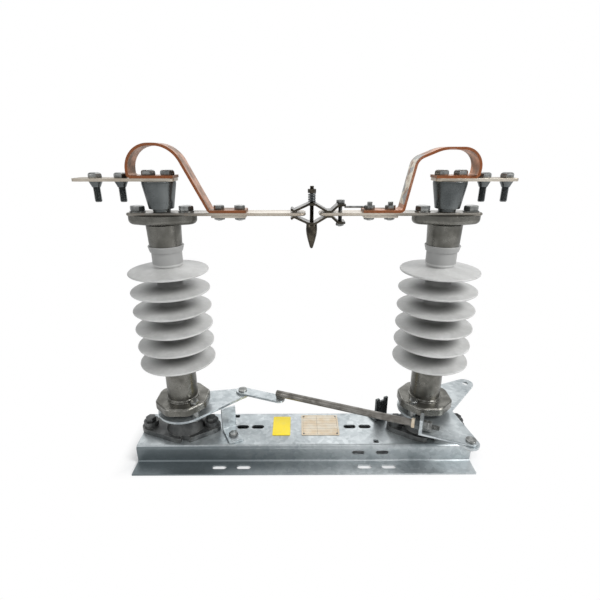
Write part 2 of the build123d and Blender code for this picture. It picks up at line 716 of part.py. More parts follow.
def make_ear_bolts(side):
    """Bolts with washers that hold the blade on the casting's ears."""
    bolts = []
    head_bottom = BLADE_TOP + EAR_BOLT_WASHER
    shank_bottom = BLADE_BOTTOM - EAR_BOLT_DEPTH
    for ear in SIDES:
        place = post_place(side) + ear * TOP_EAR_PLACE
        bolt = disc(EAR_BOLT_WASHER_RADIUS, BLADE_TOP, EAR_BOLT_WASHER, place)
        bolt += hexagon(EAR_BOLT_HEAD_FLATS, head_bottom, EAR_BOLT_HEAD_HEIGHT, place)
        bolt += disc(EAR_BOLT_RADIUS, shank_bottom, head_bottom - shank_bottom, place)
        bolts.append(bolt)
    return bolts


def make_blade(side):
    """Flat bar from the outer ear over the post to the centre contact."""
    tail = post_place(side) + side * BLADE_TAIL
    tip = LEFT_BLADE_TIP if side < 0 else RIGHT_BLADE_TIP
    middle = (tail + tip) / 2
    length = abs(tail - tip)
    outline = RectangleRounded(length, BLADE_WIDTH, BLADE_CORNER)
    blade = Pos(middle, 0, BLADE_BOTTOM) * extrude(outline, amount=BLADE_THICKNESS)
    tip_edges = blade.edges().filter_by(Axis.Y).sort_by(Axis.X)
    tip_edges = tip_edges[-2:] if side < 0 else tip_edges[:2]
    blade = chamfer(tip_edges, BLADE_TIP_CHAMFER)
    sheet = (BLADE_BOTTOM, BLADE_THICKNESS)
    post = post_place(side)
    blade -= hole(PIVOT_RADIUS + PLATE_FIT, *sheet, post)
    for ear in SIDES:
        blade -= hole(EAR_BOLT_RADIUS + PLATE_FIT, *sheet, post + ear * TOP_EAR_PLACE)
    for distance in (CLAMP_BOLT_NEAR, CLAMP_BOLT_FAR):
        blade -= hole(CLAMP_BOLT_RADIUS + PLATE_FIT, *sheet, post - side * distance)
    if side > 0:
        blade -= hole(HOLD_BOLT_RADIUS + PLATE_FIT, *sheet, FINGER_BOLT_PLACE)
    return blade


def make_cup(side):
    """Tapered cup that stands on the pivot and carries the terminal bar."""
    straight = CUP_HEIGHT - CUP_SHOULDER
    cup = Pos(0, 0, straight / 2) * Cone(CUP_FOOT_RADIUS, CUP_HEAD_RADIUS, straight)
    cup += disc(CUP_HEAD_RADIUS, straight, CUP_SHOULDER)
    cup = Pos(0, 0, CUP_BOTTOM) * cup
    boss_bottom = BLADE_TOP + MOVING_GAP
    cup += disc(CUP_FOOT_BOSS_RADIUS, boss_bottom, CUP_BOTTOM - boss_bottom)
    bore = PIVOT_RISE + MOVING_GAP
    cup -= disc(PIVOT_RADIUS + RUNNING_FIT, BLADE_TOP, bore)
    for step in SIDES:
        cup -= hole(
            CUP_BOLT_RADIUS + PLATE_FIT, CUP_TOP - CUP_BOLT_DEPTH, CUP_BOLT_DEPTH,
            step * CUP_BOLT_PLACE,
        )
    return Pos(post_place(side), 0, 0) * cup


def bar_reach(side):
    return LEFT_BAR_REACH if side < 0 else RIGHT_BAR_REACH


def stud_distances(side):
    """Distances of the two terminal bolts from the post's axis."""
    if side < 0:
        return LEFT_STUD_NEAR, LEFT_STUD_NEAR + LEFT_STUD_SPACING
    return RIGHT_STUD_NEAR, RIGHT_STUD_NEAR + RIGHT_STUD_SPACING


def make_terminal_bar(side):
    reach = bar_reach(side)
    length = reach + BAR_HEEL
    middle = side * (reach - BAR_HEEL) / 2
    outline = RectangleRounded(length, BAR_WIDTH, BAR_CORNER)
    bar = Pos(middle, 0, CUP_TOP) * extrude(outline, amount=BAR_THICKNESS)
    sheet = (CUP_TOP, BAR_THICKNESS)
    for distance in stud_distances(side):
        bar -= hole(STUD_RADIUS + PLATE_FIT, *sheet, side * distance)
    for step in SIDES:
        bar -= hole(CUP_BOLT_RADIUS + PLATE_FIT, *sheet, step * CUP_BOLT_PLACE)
    return Pos(post_place(side), 0, 0) * bar


def make_terminal_bolts(side):
    """Line bolts with conical collars under the bar, and the two that hold bar and strap."""
    bolts = []
    for distance in stud_distances(side):
        place = post_place(side) + side * distance
        bolt = hexagon(STUD_HEAD_FLATS, BAR_TOP, STUD_HEAD_HEIGHT, place)
        bolt += disc(STUD_RADIUS, CUP_TOP - STUD_DROP, STUD_DROP + BAR_THICKNESS, place)
        collar = Cone(STUD_COLLAR_FOOT_RADIUS, STUD_COLLAR_RADIUS, STUD_COLLAR_HEIGHT)
        bolt += Pos(place, 0, CUP_TOP - STUD_COLLAR_HEIGHT / 2) * collar
        bolts.append(bolt)
    for step in SIDES:
        place = post_place(side) + step * CUP_BOLT_PLACE
        bolt = hexagon(CUP_BOLT_HEAD_FLATS, STRAP_TOP, CUP_BOLT_HEAD_HEIGHT, place)
        shank_height = CUP_BOLT_DEPTH + BAR_THICKNESS + STRAP_THICKNESS
        bolt += disc(CUP_BOLT_RADIUS, CUP_TOP - CUP_BOLT_DEPTH, shank_height, place)
        bolts.append(bolt)
    return bolts


def strap_route(side):
    """Corners and bends of the strap's middle line, from the cup over the loop to the blade."""
    post = post_place(side)
    bar_line = BAR_TOP + STRAP_THICKNESS / 2
    blade_line = BLADE_TOP + STRAP_THICKNESS / 2
    heel = post - side * BAR_HEEL
    foot_end = post - side * STRAP_BLADE_END
    if side < 0:
        bulge = post + side * LEFT_STRAP_BULGE
        top = bar_line + LEFT_STRAP_RISE
        points = [
            (heel, bar_line),
            (bulge, bar_line),
            (bulge, top),
            (post + side * LEFT_STRAP_SHOULDER, top),
            (post + side * LEFT_STRAP_FOOT, blade_line),
            (foot_end, blade_line),
        ]
        loop_bend = LEFT_STRAP_RISE * LEFT_LOOP_SHARE
        return points, [STRAP_HEEL_BEND, loop_bend, LEFT_SHOULDER_BEND, STRAP_FOOT_BEND]
    bulge = post + side * RIGHT_STRAP_BULGE
    top = bar_line + RIGHT_STRAP_RISE
    points = [
        (heel, bar_line),
        (bulge - side * STRAP_HEEL_BEND, bar_line),
        (bulge, top),
        (post + side * RIGHT_STRAP_SHOULDER, top),
        (post + side * RIGHT_STRAP_KNEE, top - RIGHT_STRAP_KNEE_DROP),
        (post + side * RIGHT_STRAP_FOOT, blade_line),
        (foot_end, blade_line),
    ]
    loop_bend = RIGHT_STRAP_RISE * RIGHT_LOOP_SHARE
    bends = [STRAP_HEEL_BEND, loop_bend, RIGHT_SHOULDER_BEND, RIGHT_KNEE_BEND, STRAP_FOOT_BEND]
    return points, bends


def make_copper_strap(side):
    points, bends = strap_route(side)
    strap = bent_strip(points, bends, STRAP_THICKNESS, STRAP_WIDTH)
    post = post_place(side)
    for step in SIDES:
        place = post + step * CUP_BOLT_PLACE
        strap -= hole(CUP_BOLT_RADIUS + PLATE_FIT, BAR_TOP, STRAP_THICKNESS, place)
    for distance in (CLAMP_BOLT_NEAR, CLAMP_BOLT_FAR):
        place = post - side * distance
        strap -= hole(CLAMP_BOLT_RADIUS + PLATE_FIT, BLADE_TOP, STRAP_THICKNESS, place)
    return strap


def make_clamp_plate(side):
    """Backing plate under the blade, below the strap's end."""
    post = post_place(side)
    middle = post - side * (CLAMP_BOLT_NEAR + CLAMP_BOLT_FAR) / 2
    bottom = BLADE_BOTTOM - CLAMP_PLATE_THICKNESS
    outline = RectangleRounded(CLAMP_PLATE_LENGTH, CLAMP_PLATE_WIDTH, PLATE_CORNER)
    plate = Pos(middle, 0, bottom) * extrude(outline, amount=CLAMP_PLATE_THICKNESS)
    for distance in (CLAMP_BOLT_NEAR, CLAMP_BOLT_FAR):
        place = post - side * distance
        plate -= hole(CLAMP_BOLT_RADIUS + PLATE_FIT, bottom, CLAMP_PLATE_THICKNESS, place)
    return plate


def make_clamp_bolts(side):
    bolts = []
    strap_top = BLADE_TOP + STRAP_THICKNESS
    grip = strap_top - BLADE_BOTTOM + CLAMP_PLATE_THICKNESS
    for distance in (CLAMP_BOLT_NEAR, CLAMP_BOLT_FAR):
        place = post_place(side) - side * distance
        bolt = through_bolt(
            CLAMP_BOLT_RADIUS, CLAMP_HEAD_FLATS, CLAMP_HEAD_HEIGHT, strap_top, grip,
            CLAMP_NUT_HEIGHT, place, 0,
        )
        if side > 0:
            bolt += disc(CLAMP_BOLT_RADIUS, strap_top, RIGHT_CLAMP_POST, place)
        bolts.append(bolt)
    return bolts


def finger_route(up):
    """Corners of one contact finger's middle line; up is 1 above the blade and -1 below."""
    blade_face = BLADE_TOP if up > 0 else BLADE_BOTTOM
    half = FINGER_THICKNESS / 2
    mouth_line = blade_face + up * (half + MOVING_GAP)
    pinch_line = blade_face + up * half
    arch = pinch_line + up * FINGER_ARCH
    hook = pinch_line + up * FINGER_HOOK_DROP
    return [
        (FINGER_MOUTH - FINGER_LIP, mouth_line + up * FINGER_LIP_RISE),
        (FINGER_MOUTH, mouth_line),
        (SPRING_BOLT_PLACE - FINGER_ARCH / 2, arch),
        (SPRING_BOLT_PLACE + FINGER_ARCH / 2, arch),
        (FINGER_PINCH - FINGER_HOOK_REACH / 2, pinch_line),
        (FINGER_PINCH + FINGER_HOOK_REACH / 2, pinch_line),
        (FINGER_BOLT_PLACE - FINGER_HOOK_REACH / 2, hook),
        (FINGER_BOLT_PLACE + FINGER_HOOK_REACH, hook),
    ]


def make_finger(up):
    points = finger_route(up)
    folds = len(points[2:-1])
    bends = [FINGER_LIP_BEND] + [FINGER_FOLD_BEND] * folds
    finger = bent_strip(points, bends, FINGER_THICKNESS, FINGER_WIDTH)
    lower, _ = finger_outside(-1)
    upper, _ = finger_outside(1)
    finger -= hole(SPRING_BOLT_RADIUS + PLATE_FIT, lower, upper - lower, SPRING_BOLT_PLACE)
    finger -= hole(HOLD_BOLT_RADIUS + PLATE_FIT, lower, upper - lower, FINGER_BOLT_PLACE)
    return finger


def finger_outside(up):
    """Height of the finger's outer face at its arch and at its hook."""
    blade_face = BLADE_TOP if up > 0 else BLADE_BOTTOM
    arch = blade_face + up * (FINGER_THICKNESS + FINGER_ARCH)
    hook = blade_face + up * (FINGER_THICKNESS + FINGER_HOOK_DROP)
    return arch, hook


def make_spring_bolt():
    """Vertical bolt that draws the fingers together, with the pointed guide at its foot."""
    upper, _ = finger_outside(1)
    lower, _ = finger_outside(-1)
    cap_bottom = upper + SPRING_HEIGHT
    top = cap_bottom + SPRING_CAP_HEIGHT + SPRING_TIP_RISE
    bolt = disc(SPRING_BOLT_RADIUS, lower, top - lower)
    bolt += hexagon(SPRING_CAP_FLATS, cap_bottom, SPRING_CAP_HEIGHT)
    belly = lower - GUIDE_BELLY_DROP
    tip = lower - GUIDE_HEIGHT
    outline = make_face(
        [
            Line((0, lower), (GUIDE_HEAD_RADIUS, lower)),
            Line((GUIDE_HEAD_RADIUS, lower), (GUIDE_BELLY_RADIUS, belly)),
            Line((GUIDE_BELLY_RADIUS, belly), (GUIDE_TIP_RADIUS, tip + GUIDE_TIP_RADIUS)),
            Line((GUIDE_TIP_RADIUS, tip + GUIDE_TIP_RADIUS), (GUIDE_TIP_RADIUS / 2, tip)),
            Line((GUIDE_TIP_RADIUS / 2, tip), (0, tip)),
            Line((0, tip), (0, lower)),
        ]
    )
    bolt += revolve(Plane.XZ * outline, Axis.Z)
    return Pos(SPRING_BOLT_PLACE, 0, 0) * bolt


def make_contact_spring():
    upper, _ = finger_outside(1)
    spring = disc(SPRING_RADIUS, upper, SPRING_HEIGHT)
    spring -= hole(SPRING_BOLT_RADIUS + PLATE_FIT, upper, SPRING_HEIGHT)
    return Pos(SPRING_BOLT_PLACE, 0, 0) * spring


def make_hold_bolt():
    """Bolt that holds both fingers on the right-hand blade."""
    _, upper = finger_outside(1)
    _, lower = finger_outside(-1)
    return through_bolt(
        HOLD_BOLT_RADIUS, HOLD_HEAD_FLATS, HOLD_HEAD_HEIGHT, upper, upper - lower,
        HOLD_HEAD_HEIGHT, FINGER_BOLT_PLACE, 0,
    )


def make_retaining_rod():
    """Thin rod from the fingers' bolt to the strap's clamp."""
    start = FINGER_BOLT_PLACE + HOLD_HEAD_FLATS / 2 * HEX_CORNER
    end = POST_PLACE - CLAMP_BOLT_FAR - CLAMP_HEAD_FLATS / 2 * HEX_CORNER
    return lying(ROD_RADIUS, start, end, height=BLADE_TOP + ROD_RISE)


def link_line():
    """Start, end and heading of the link, seen from above."""
    start = lever_pin(-1)
    end = lever_pin(1)
    along = end - start
    return start, along.length, math.degrees(math.atan2(along.Y, along.X))


def on_link(piece):
    """Carry a piece drawn along +X from the left pivot to its place on the link."""
    start, _, heading = link_line()
    return Pos(start.X, start.Y, 0) * Rot(0, 0, heading) * piece


def make_left_link_strap():
    outline = SlotOverall(LEFT_LINK_STRAP_LENGTH + LINK_STRAP_HEAD, LINK_STRAP_WIDTH)
    middle = (LEFT_LINK_STRAP_LENGTH - LINK_STRAP_HEAD) / 2
    strap = Pos(middle, 0, LINK_BOTTOM) * extrude(outline, amount=LINK_STRAP_THICKNESS)
    strap -= hole(LINK_PIN_RADIUS + PLATE_FIT, LINK_BOTTOM, LINK_STRAP_THICKNESS)
    return on_link(strap)


def tube_height():
    return LINK_STRAP_TOP + TUBE_RISE


def make_link_tube():
    _, length, _ = link_line()
    start = LEFT_LINK_STRAP_LENGTH - TUBE_OVERLAP
    end = length - LUG_DISTANCE - BUSHING_LENGTH
    tube = lying(TUBE_RADIUS, start, end, height=tube_height())
    saddle_height = tube_height() - LINK_STRAP_TOP
    tube += block(
        TUBE_OVERLAP, TUBE_RADIUS, saddle_height, start + TUBE_OVERLAP / 2, 0, LINK_STRAP_TOP
    )
    return on_link(tube)


def make_right_link_bracket():
    """Flat strap on the right lever with an upright lug that the threaded end passes."""
    _, length, _ = link_line()
    lug_face = length - LUG_DISTANCE
    bracket = block(
        LUG_DISTANCE, LINK_STRAP_WIDTH, LINK_STRAP_THICKNESS,
        lug_face + LUG_DISTANCE / 2, 0, LINK_BOTTOM,
    )
    bracket += disc(LINK_STRAP_WIDTH / 2, LINK_BOTTOM, LINK_STRAP_THICKNESS, length)
    bracket += block(
        LUG_THICKNESS, LINK_STRAP_WIDTH, LUG_HEIGHT, lug_face + LUG_THICKNESS / 2, 0, LINK_BOTTOM
    )
    bracket -= lying(
        LINK_THREAD_RADIUS + PLATE_FIT, lug_face - CUT_MARGIN,
        lug_face + LUG_THICKNESS + CUT_MARGIN, height=tube_height(),
    )
    bracket -= hole(LINK_PIN_RADIUS + PLATE_FIT, LINK_BOTTOM, LINK_STRAP_THICKNESS, length)
    return on_link(bracket)


def make_threaded_end():
    """Collar between tube and lug, with the thread through the lug and the two nuts on it."""
    _, length, _ = link_line()
    lug_face = length - LUG_DISTANCE
    nut_face = lug_face + LUG_THICKNESS
    thread = lying(BUSHING_RADIUS, lug_face - BUSHING_LENGTH, lug_face)
    thread += lying(LINK_THREAD_RADIUS, lug_face, nut_face + LINK_THREAD_END)
    nut = Rot(0, QUARTER_TURN, 0) * hexagon(LINK_NUT_FLATS, 0, 2 * LINK_NUT_HEIGHT)
    thread += Pos(nut_face, 0, 0) * nut
    return on_link(Pos(0, 0, tube_height()) * thread)


def make_link_pins():
    """Right pivot pin with its nut, and the head and the shank of the left pivot."""
    _, length, _ = link_line()
    nut_bottom = LEVER_BOTTOM - MOVING_GAP - LINK_PIN_NUT_HEIGHT
    right = disc(LINK_PIN_RADIUS, nut_bottom, LINK_STRAP_TOP - nut_bottom, length)
    right += disc(LINK_PIN_HEAD_RADIUS, LINK_STRAP_TOP, LINK_PIN_HEAD_HEIGHT, length)
    right += disc(LINK_PIN_NUT_RADIUS, nut_bottom, LINK_PIN_NUT_HEIGHT, length)
    left = disc(LINK_PIN_RADIUS, LINK_BOTTOM, LINK_STRAP_THICKNESS)
    left += disc(LINK_PIN_HEAD_RADIUS, LINK_STRAP_TOP, LINK_PIN_HEAD_HEIGHT)
    return [on_link(left), on_link(right)]


def build_parts():
    parts = {
        "base_channel": make_base_channel(),
        "base_bolts": make_base_bolts(),
        "name_plate": make_plate(
            NAME_PLATE_LENGTH, NAME_PLATE_WIDTH, NAME_PLATE_MIDDLE, NAME_PLATE_BACKSET
        ),
        "label_plate": make_plate(LABEL_LENGTH, LABEL_WIDTH, LABEL_MIDDLE, LABEL_BACKSET),
    }
    for side in SIDES:
        name = side_name(side)
        parts[f"{name}_bearing_seat"] = make_bearing_seat(side)
        parts[f"{name}_stop_bracket"] = make_stop_bracket(side)
        parts[f"{name}_lever"] = make_lever(side)
        parts[f"{name}_bottom_fitting"] = make_bottom_fitting(side)
        parts[f"{name}_flange_bolts"] = make_flange_bolts(side)
        parts[f"{name}_insulator"] = make_insulator(side)
        parts[f"{name}_top_casting"] = make_top_casting(side)
        parts[f"{name}_ear_bolts"] = make_ear_bolts(side)
        parts[f"{name}_blade"] = make_blade(side)
        parts[f"{name}_clamp_plate"] = make_clamp_plate(side)
        parts[f"{name}_clamp_bolts"] = make_clamp_bolts(side)
        parts[f"{name}_cup"] = make_cup(side)
        parts[f"{name}_terminal_bar"] = make_terminal_bar(side)
        parts[f"{name}_terminal_bolts"] = make_terminal_bolts(side)
        parts[f"{name}_copper_strap"] = make_copper_strap(side)
    parts["upper_contact_finger"] = make_finger(1)
    parts["lower_contact_finger"] = make_finger(-1)
    parts["contact_spring_bolt"] = make_spring_bolt()
    parts["contact_spring"] = make_contact_spring()
    parts["finger_bolt"] = make_hold_bolt()
    parts["retaining_rod"] = make_retaining_rod()
    parts["left_link_strap"] = make_left_link_strap()
    parts["link_tube"] = make_link_tube()
    parts["right_link_bracket"] = make_right_link_bracket()
    parts["link_threaded_end"] = make_threaded_end()
    parts["link_pins"] = make_link_pins()
    return parts


def write_parts(parts):
    os.makedirs("parts", exist_ok=True)
    for name, shape in parts.items():
        solids = shape if isinstance(shape, list) else [shape]
        solids = [solid for piece in solids for solid in piece.solids()]
        whole = solids[0] if len(solids) == 1 else Compound(children=solids)
        export_step(whole, f"parts/{name}.step")


write_parts(build_parts())
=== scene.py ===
"""Looks of a two-post centre-break disconnect switch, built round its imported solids."""

from __future__ import annotations

import json
import logging
import math
from dataclasses import dataclass
from enum import Enum
from typing import Any, Iterable, Sequence

import bmesh
import bpy
from mathutils import Matrix, Vector

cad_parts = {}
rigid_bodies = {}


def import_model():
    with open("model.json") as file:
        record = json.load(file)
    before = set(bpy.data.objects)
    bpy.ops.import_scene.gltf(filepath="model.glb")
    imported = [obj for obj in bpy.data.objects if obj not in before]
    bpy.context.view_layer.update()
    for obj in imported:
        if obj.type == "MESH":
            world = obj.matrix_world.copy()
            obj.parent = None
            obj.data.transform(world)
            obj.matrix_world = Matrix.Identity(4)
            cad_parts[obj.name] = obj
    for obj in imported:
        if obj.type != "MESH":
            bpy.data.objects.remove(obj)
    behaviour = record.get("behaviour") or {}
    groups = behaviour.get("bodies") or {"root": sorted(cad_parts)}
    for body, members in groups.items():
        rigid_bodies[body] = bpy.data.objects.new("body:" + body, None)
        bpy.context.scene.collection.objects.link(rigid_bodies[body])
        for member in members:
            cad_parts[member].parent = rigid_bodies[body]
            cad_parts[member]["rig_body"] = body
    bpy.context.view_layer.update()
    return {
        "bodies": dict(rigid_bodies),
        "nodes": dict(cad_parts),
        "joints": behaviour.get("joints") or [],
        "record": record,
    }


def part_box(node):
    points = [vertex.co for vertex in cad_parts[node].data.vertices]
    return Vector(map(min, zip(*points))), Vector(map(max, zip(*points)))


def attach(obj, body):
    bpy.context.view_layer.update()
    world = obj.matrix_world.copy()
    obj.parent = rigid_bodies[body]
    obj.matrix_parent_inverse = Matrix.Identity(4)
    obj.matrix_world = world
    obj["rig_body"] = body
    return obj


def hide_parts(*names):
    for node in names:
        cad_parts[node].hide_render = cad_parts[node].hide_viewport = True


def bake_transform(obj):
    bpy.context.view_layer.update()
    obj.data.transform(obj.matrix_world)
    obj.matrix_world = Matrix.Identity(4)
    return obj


MM = 0.001
POST = 200 * MM
LOG = logging.getLogger("disconnect_switch")
FULL_TURN = 2 * math.pi
EDGE_BAND = "edge_band"
Colour = tuple[float, float, float]
Box = tuple[Vector, Vector]
Outline = list[tuple[float, float]]


class Slot(Enum):
    """Material slots of the record."""

    GALVANISED = "galvanised_steel"
    DARK_CASTING = "dark_casting"
    GREY_CASTING = "grey_casting"
    SILICONE = "silicone"
    TINNED = "tinned_copper"
    COPPER = "copper_foil"
    BRONZE = "contact_bronze"
    ZINC = "zinc_bolts"
    DARK_STEEL = "dark_steel"
    LINK_STEEL = "link_steel"
    BRASS = "brass_plate"
    YELLOW = "yellow_label"


class Side(Enum):
    """The two posts, with the sign of their place along X."""

    LEFT = -1
    RIGHT = 1

    @property
    def label(self) -> str:
        """Name that starts the side's nodes."""
        return self.name.lower()


class Signal:
    """A number that varies over a surface, written in plain arithmetic."""

    def __init__(self, shader: Shader, socket: bpy.types.NodeSocket) -> None:
        """Wrap one output socket of a shader's nodes."""
        self.shader = shader
        self.socket = socket

    def _maths(self, operation: str, first: Any, second: Any = 0.0) -> Signal:
        """Result of one Math node on signals or numbers."""
        node = self.shader.node("ShaderNodeMath", {"operation": operation}, {0: first, 1: second})
        return Signal(self.shader, node.outputs[0])

    def __add__(self, other: Any) -> Signal:
        """Sum with a signal or a number."""
        return self._maths("ADD", self, other)

    def __sub__(self, other: Any) -> Signal:
        """Difference from a signal or a number."""
        return self._maths("SUBTRACT", self, other)

    def __rsub__(self, other: Any) -> Signal:
        """Number minus this signal."""
        return self._maths("SUBTRACT", other, self)

    def __mul__(self, other: Any) -> Signal:
        """Product with a signal or a number."""
        return self._maths("MULTIPLY", self, other)

    def __truediv__(self, other: Any) -> Signal:
        """Quotient by a signal or a number."""
        return self._maths("DIVIDE", self, other)

    def __abs__(self) -> Signal:
        """Distance from zero."""
        return self._maths("ABSOLUTE", self)

    def above(self, threshold: Any) -> Signal:
        """One where the signal is over the threshold, else zero."""
        return self._maths("GREATER_THAN", self, threshold)

    def below(self, threshold: Any) -> Signal:
        """One where the signal is under the threshold, else zero."""
        return self._maths("LESS_THAN", self, threshold)

    def larger(self, other: Any) -> Signal:
        """The larger of this and another signal."""
        return self._maths("MAXIMUM", self, other)

    def cell_share(self) -> Signal:
        """What is left after taking off the whole part."""
        return self._maths("FRACT", self)


class Shader:
    """The node tree of one finish, with one way to add any node."""

    def __init__(self, name: str) -> None:
        """Start a material with one surface shader and its output."""
        self.material = bpy.data.materials.new(name)
        self.material.use_nodes = True
        self.tree = self.material.node_tree
        self.tree.nodes.clear()
        self.surface = self.node("ShaderNodeBsdfPrincipled")
        output = self.node("ShaderNodeOutputMaterial")
        self.tree.links.new(self.surface.outputs[0], output.inputs[0])
        place = self.node("ShaderNodeTexCoord")
        self.place = place.outputs["Object"]

    def node(
        self,
        kind: str,
        settings: dict[str, Any] | None = None,
        sockets: dict[Any, Any] | None = None,
    ) -> bpy.types.Node:
        """Add any node: its settings first, then the values or links of its sockets.

        Args:
            kind: The node's type name.
            settings: Attributes of the node.
            sockets: Input socket names or numbers to signals, sockets or plain values.

        Returns:
            The new node.
        """
        made = self.tree.nodes.new(kind)
        for name, value in (settings or {}).items():
            setattr(made, name, value)
        for name, value in (sockets or {}).items():
            self.feed(made.inputs[name], value)
        return made

    def feed(self, socket: bpy.types.NodeSocket, value: Any) -> None:
        """Link or set one input socket."""
        if isinstance(value, Signal):
            self.tree.links.new(value.socket, socket)
        elif isinstance(value, bpy.types.NodeSocket):
            self.tree.links.new(value, socket)
        else:
            socket.default_value = value

    def noise(
        self, feature: float, detail: float = 3.0, stretch: Sequence[float] = (1, 1, 1)
    ) -> Signal:
        """Cloudy pattern from 0 to 1 whose features are about the given size in metres."""
        scaled = self.node(
            "ShaderNodeMapping", {}, {"Vector": self.place, "Scale": tuple(stretch)}
        )
        made = self.node(
            "ShaderNodeTexNoise",
            {},
            {"Vector": scaled.outputs[0], "Scale": 1 / feature, "Detail": detail},
        )
        return Signal(self, made.outputs[0])

    def crystals(self, size: float) -> Signal:
        """One random grey for each crystal of the given size in metres."""
        made = self.node(
            "ShaderNodeTexVoronoi", {}, {"Vector": self.place, "Scale": 1 / size, "Randomness": 1.0}
        )
        split = self.node("ShaderNodeSeparateColor", {}, {0: made.outputs["Color"]})
        return Signal(self, split.outputs[0])

    def spread(self, signal: Signal, low: float, high: float) -> Signal:
        """Stretch the part of a signal between low and high to 0 to 1, softly."""
        made = self.node(
            "ShaderNodeMapRange",
            {"interpolation_type": "SMOOTHSTEP"},
            {"Value": signal, "From Min": low, "From Max": high},
        )
        return Signal(self, made.outputs[0])

    def axes(self) -> tuple[Signal, Signal, Signal]:
        """The three object coordinates, in metres."""
        made = self.node("ShaderNodeSeparateXYZ", {}, {0: self.place})
        return tuple(Signal(self, socket) for socket in made.outputs)

    def edge_band(self) -> Signal:
        """One on the rounded edges of a piece, else zero."""
        made = self.node("ShaderNodeAttribute", {"attribute_name": EDGE_BAND})
        return Signal(self, made.outputs["Fac"])

    def mix(self, mask: Signal, first: Any, second: Any) -> bpy.types.NodeSocket:
        """Colour that goes from first to second with the mask."""
        made = self.node(
            "ShaderNodeMix", {"data_type": "RGBA"}, {"Factor": mask, 6: first, 7: second}
        )
        return made.outputs[2]

    def bump(self, height: Signal, depth: float) -> bpy.types.NodeSocket:
        """Normal that a height from 0 to 1 gives, at a depth in metres."""
        made = self.node(
            "ShaderNodeBump", {}, {"Strength": 1.0, "Distance": depth, "Height": height}
        )
        return made.outputs[0]

    def dress(self, **sockets: Any) -> bpy.types.Material:
        """Feed the surface shader; a name's underscores stand for spaces."""
        for name, value in sockets.items():
            self.feed(self.surface.inputs[name.replace("_", " ")], value)
        return self.material


def rgba(red: float, green: float, blue: float) -> tuple[float, float, float, float]:
    """Opaque colour."""
    return (red, green, blue, 1.0)


@dataclass(frozen=True)
class Metal:
    """A metal with clouded tone, fine grain, rubbed edges, small dull spots and, where set, painted
    shade towards its left end.
    """

    name: str
    dark: Colour
    light: Colour
    # colour of the rubbed edges; the painted shade at the left end also uses it
    worn: Colour
    metallic: float = 0.8
    roughness: float = 0.38
    cloud: float = 0.02
    grain: float = 0.0011
    grain_depth: float = 0.00002
    spangle: float = 0.0
    # strength of the painted shade towards the left end, and the height that it stays below
    weathered_end: float = 0.0
    weathered_below: float = 30.5 * MM

    def make(self) -> bpy.types.Material:
        """Build the material."""
        shader = Shader(self.name)
        clouds = shader.noise(self.cloud, 4.0)
        grain = shader.noise(self.grain, 2.0)
        tone = shader.spread(clouds, 0.3, 0.7)
        if self.spangle:
            tone = tone * 0.55 + shader.crystals(self.spangle) * 0.45
        colour = shader.mix(tone, rgba(*self.dark), rgba(*self.light))
        spots = shader.spread(shader.noise(self.cloud / 5, 5.0), 0.60, 0.72)
        colour = shader.mix(spots * 0.35, colour, rgba(*self.dark))
        # Painted shade: below a set height the colour goes towards the worn colour, darker towards
        # the left end.
        if self.weathered_end:
            across, _, height = shader.axes()
            reach = shader.spread(clouds * 0.10 - across, -0.10, 0.24)
            reach = reach * height.below(self.weathered_below)
            colour = shader.mix(reach * self.weathered_end, colour, rgba(*self.worn))
        rubbed = shader.edge_band() * shader.spread(shader.noise(self.cloud / 3, 3.0), 0.35, 0.6)
        colour = shader.mix(rubbed * 0.8, colour, rgba(*self.worn))
        roughness = tone * -0.10 + grain * 0.10 + spots * 0.12 + self.roughness
        return shader.dress(
            Base_Color=colour,
            Metallic=self.metallic,
            Roughness=roughness,
            Normal=shader.bump(grain, self.grain_depth),
        )


@dataclass(frozen=True)
class TinnedCopper:
    """Tinned copper bar, pale where clean and dull grey where the blades leave the posts."""

    name: str = "tinned_copper_bar"
    pale: Colour = (0.62, 0.57, 0.49)
    tan: Colour = (0.40, 0.34, 0.27)
    dull: Colour = (0.17, 0.165, 0.15)
    copper: Colour = (0.34, 0.22, 0.14)
    dull_reach: tuple[float, float] = (45.0 * MM, 110.0 * MM)
    blade_top: float = 402.0 * MM

    def make(self) -> bpy.types.Material:
        """Build the material."""
        shader = Shader(self.name)
        across, _, height = shader.axes()
        clouds = shader.spread(shader.noise(0.022, 4.0, (0.3, 1, 1)), 0.3, 0.7)
        grain = shader.noise(0.0011, 2.0, (0.25, 1, 1))
        spots = shader.spread(shader.noise(0.006, 4.0), 0.58, 0.72)
        from_post = abs(abs(across) - POST) + clouds * 0.02
        on_blade = height.below(self.blade_top)
        dull = (1.0 - shader.spread(from_post, *self.dull_reach)) * on_blade
        colour = shader.mix(clouds, rgba(*self.tan), rgba(*self.pale))
        colour = shader.mix(dull * 0.85, colour, rgba(*self.dull))
        colour = shader.mix(spots * 0.3, colour, rgba(*self.tan))
        rubbed = shader.edge_band() * shader.spread(shader.noise(0.008, 3.0), 0.45, 0.65)
        colour = shader.mix(rubbed * 0.6, colour, rgba(*self.copper))
        return shader.dress(
            Base_Color=colour,
            Metallic=0.75,
            Roughness=grain * 0.1 + spots * 0.1 - clouds * 0.08 + 0.36,
            Normal=shader.bump(grain, 0.000015),
        )


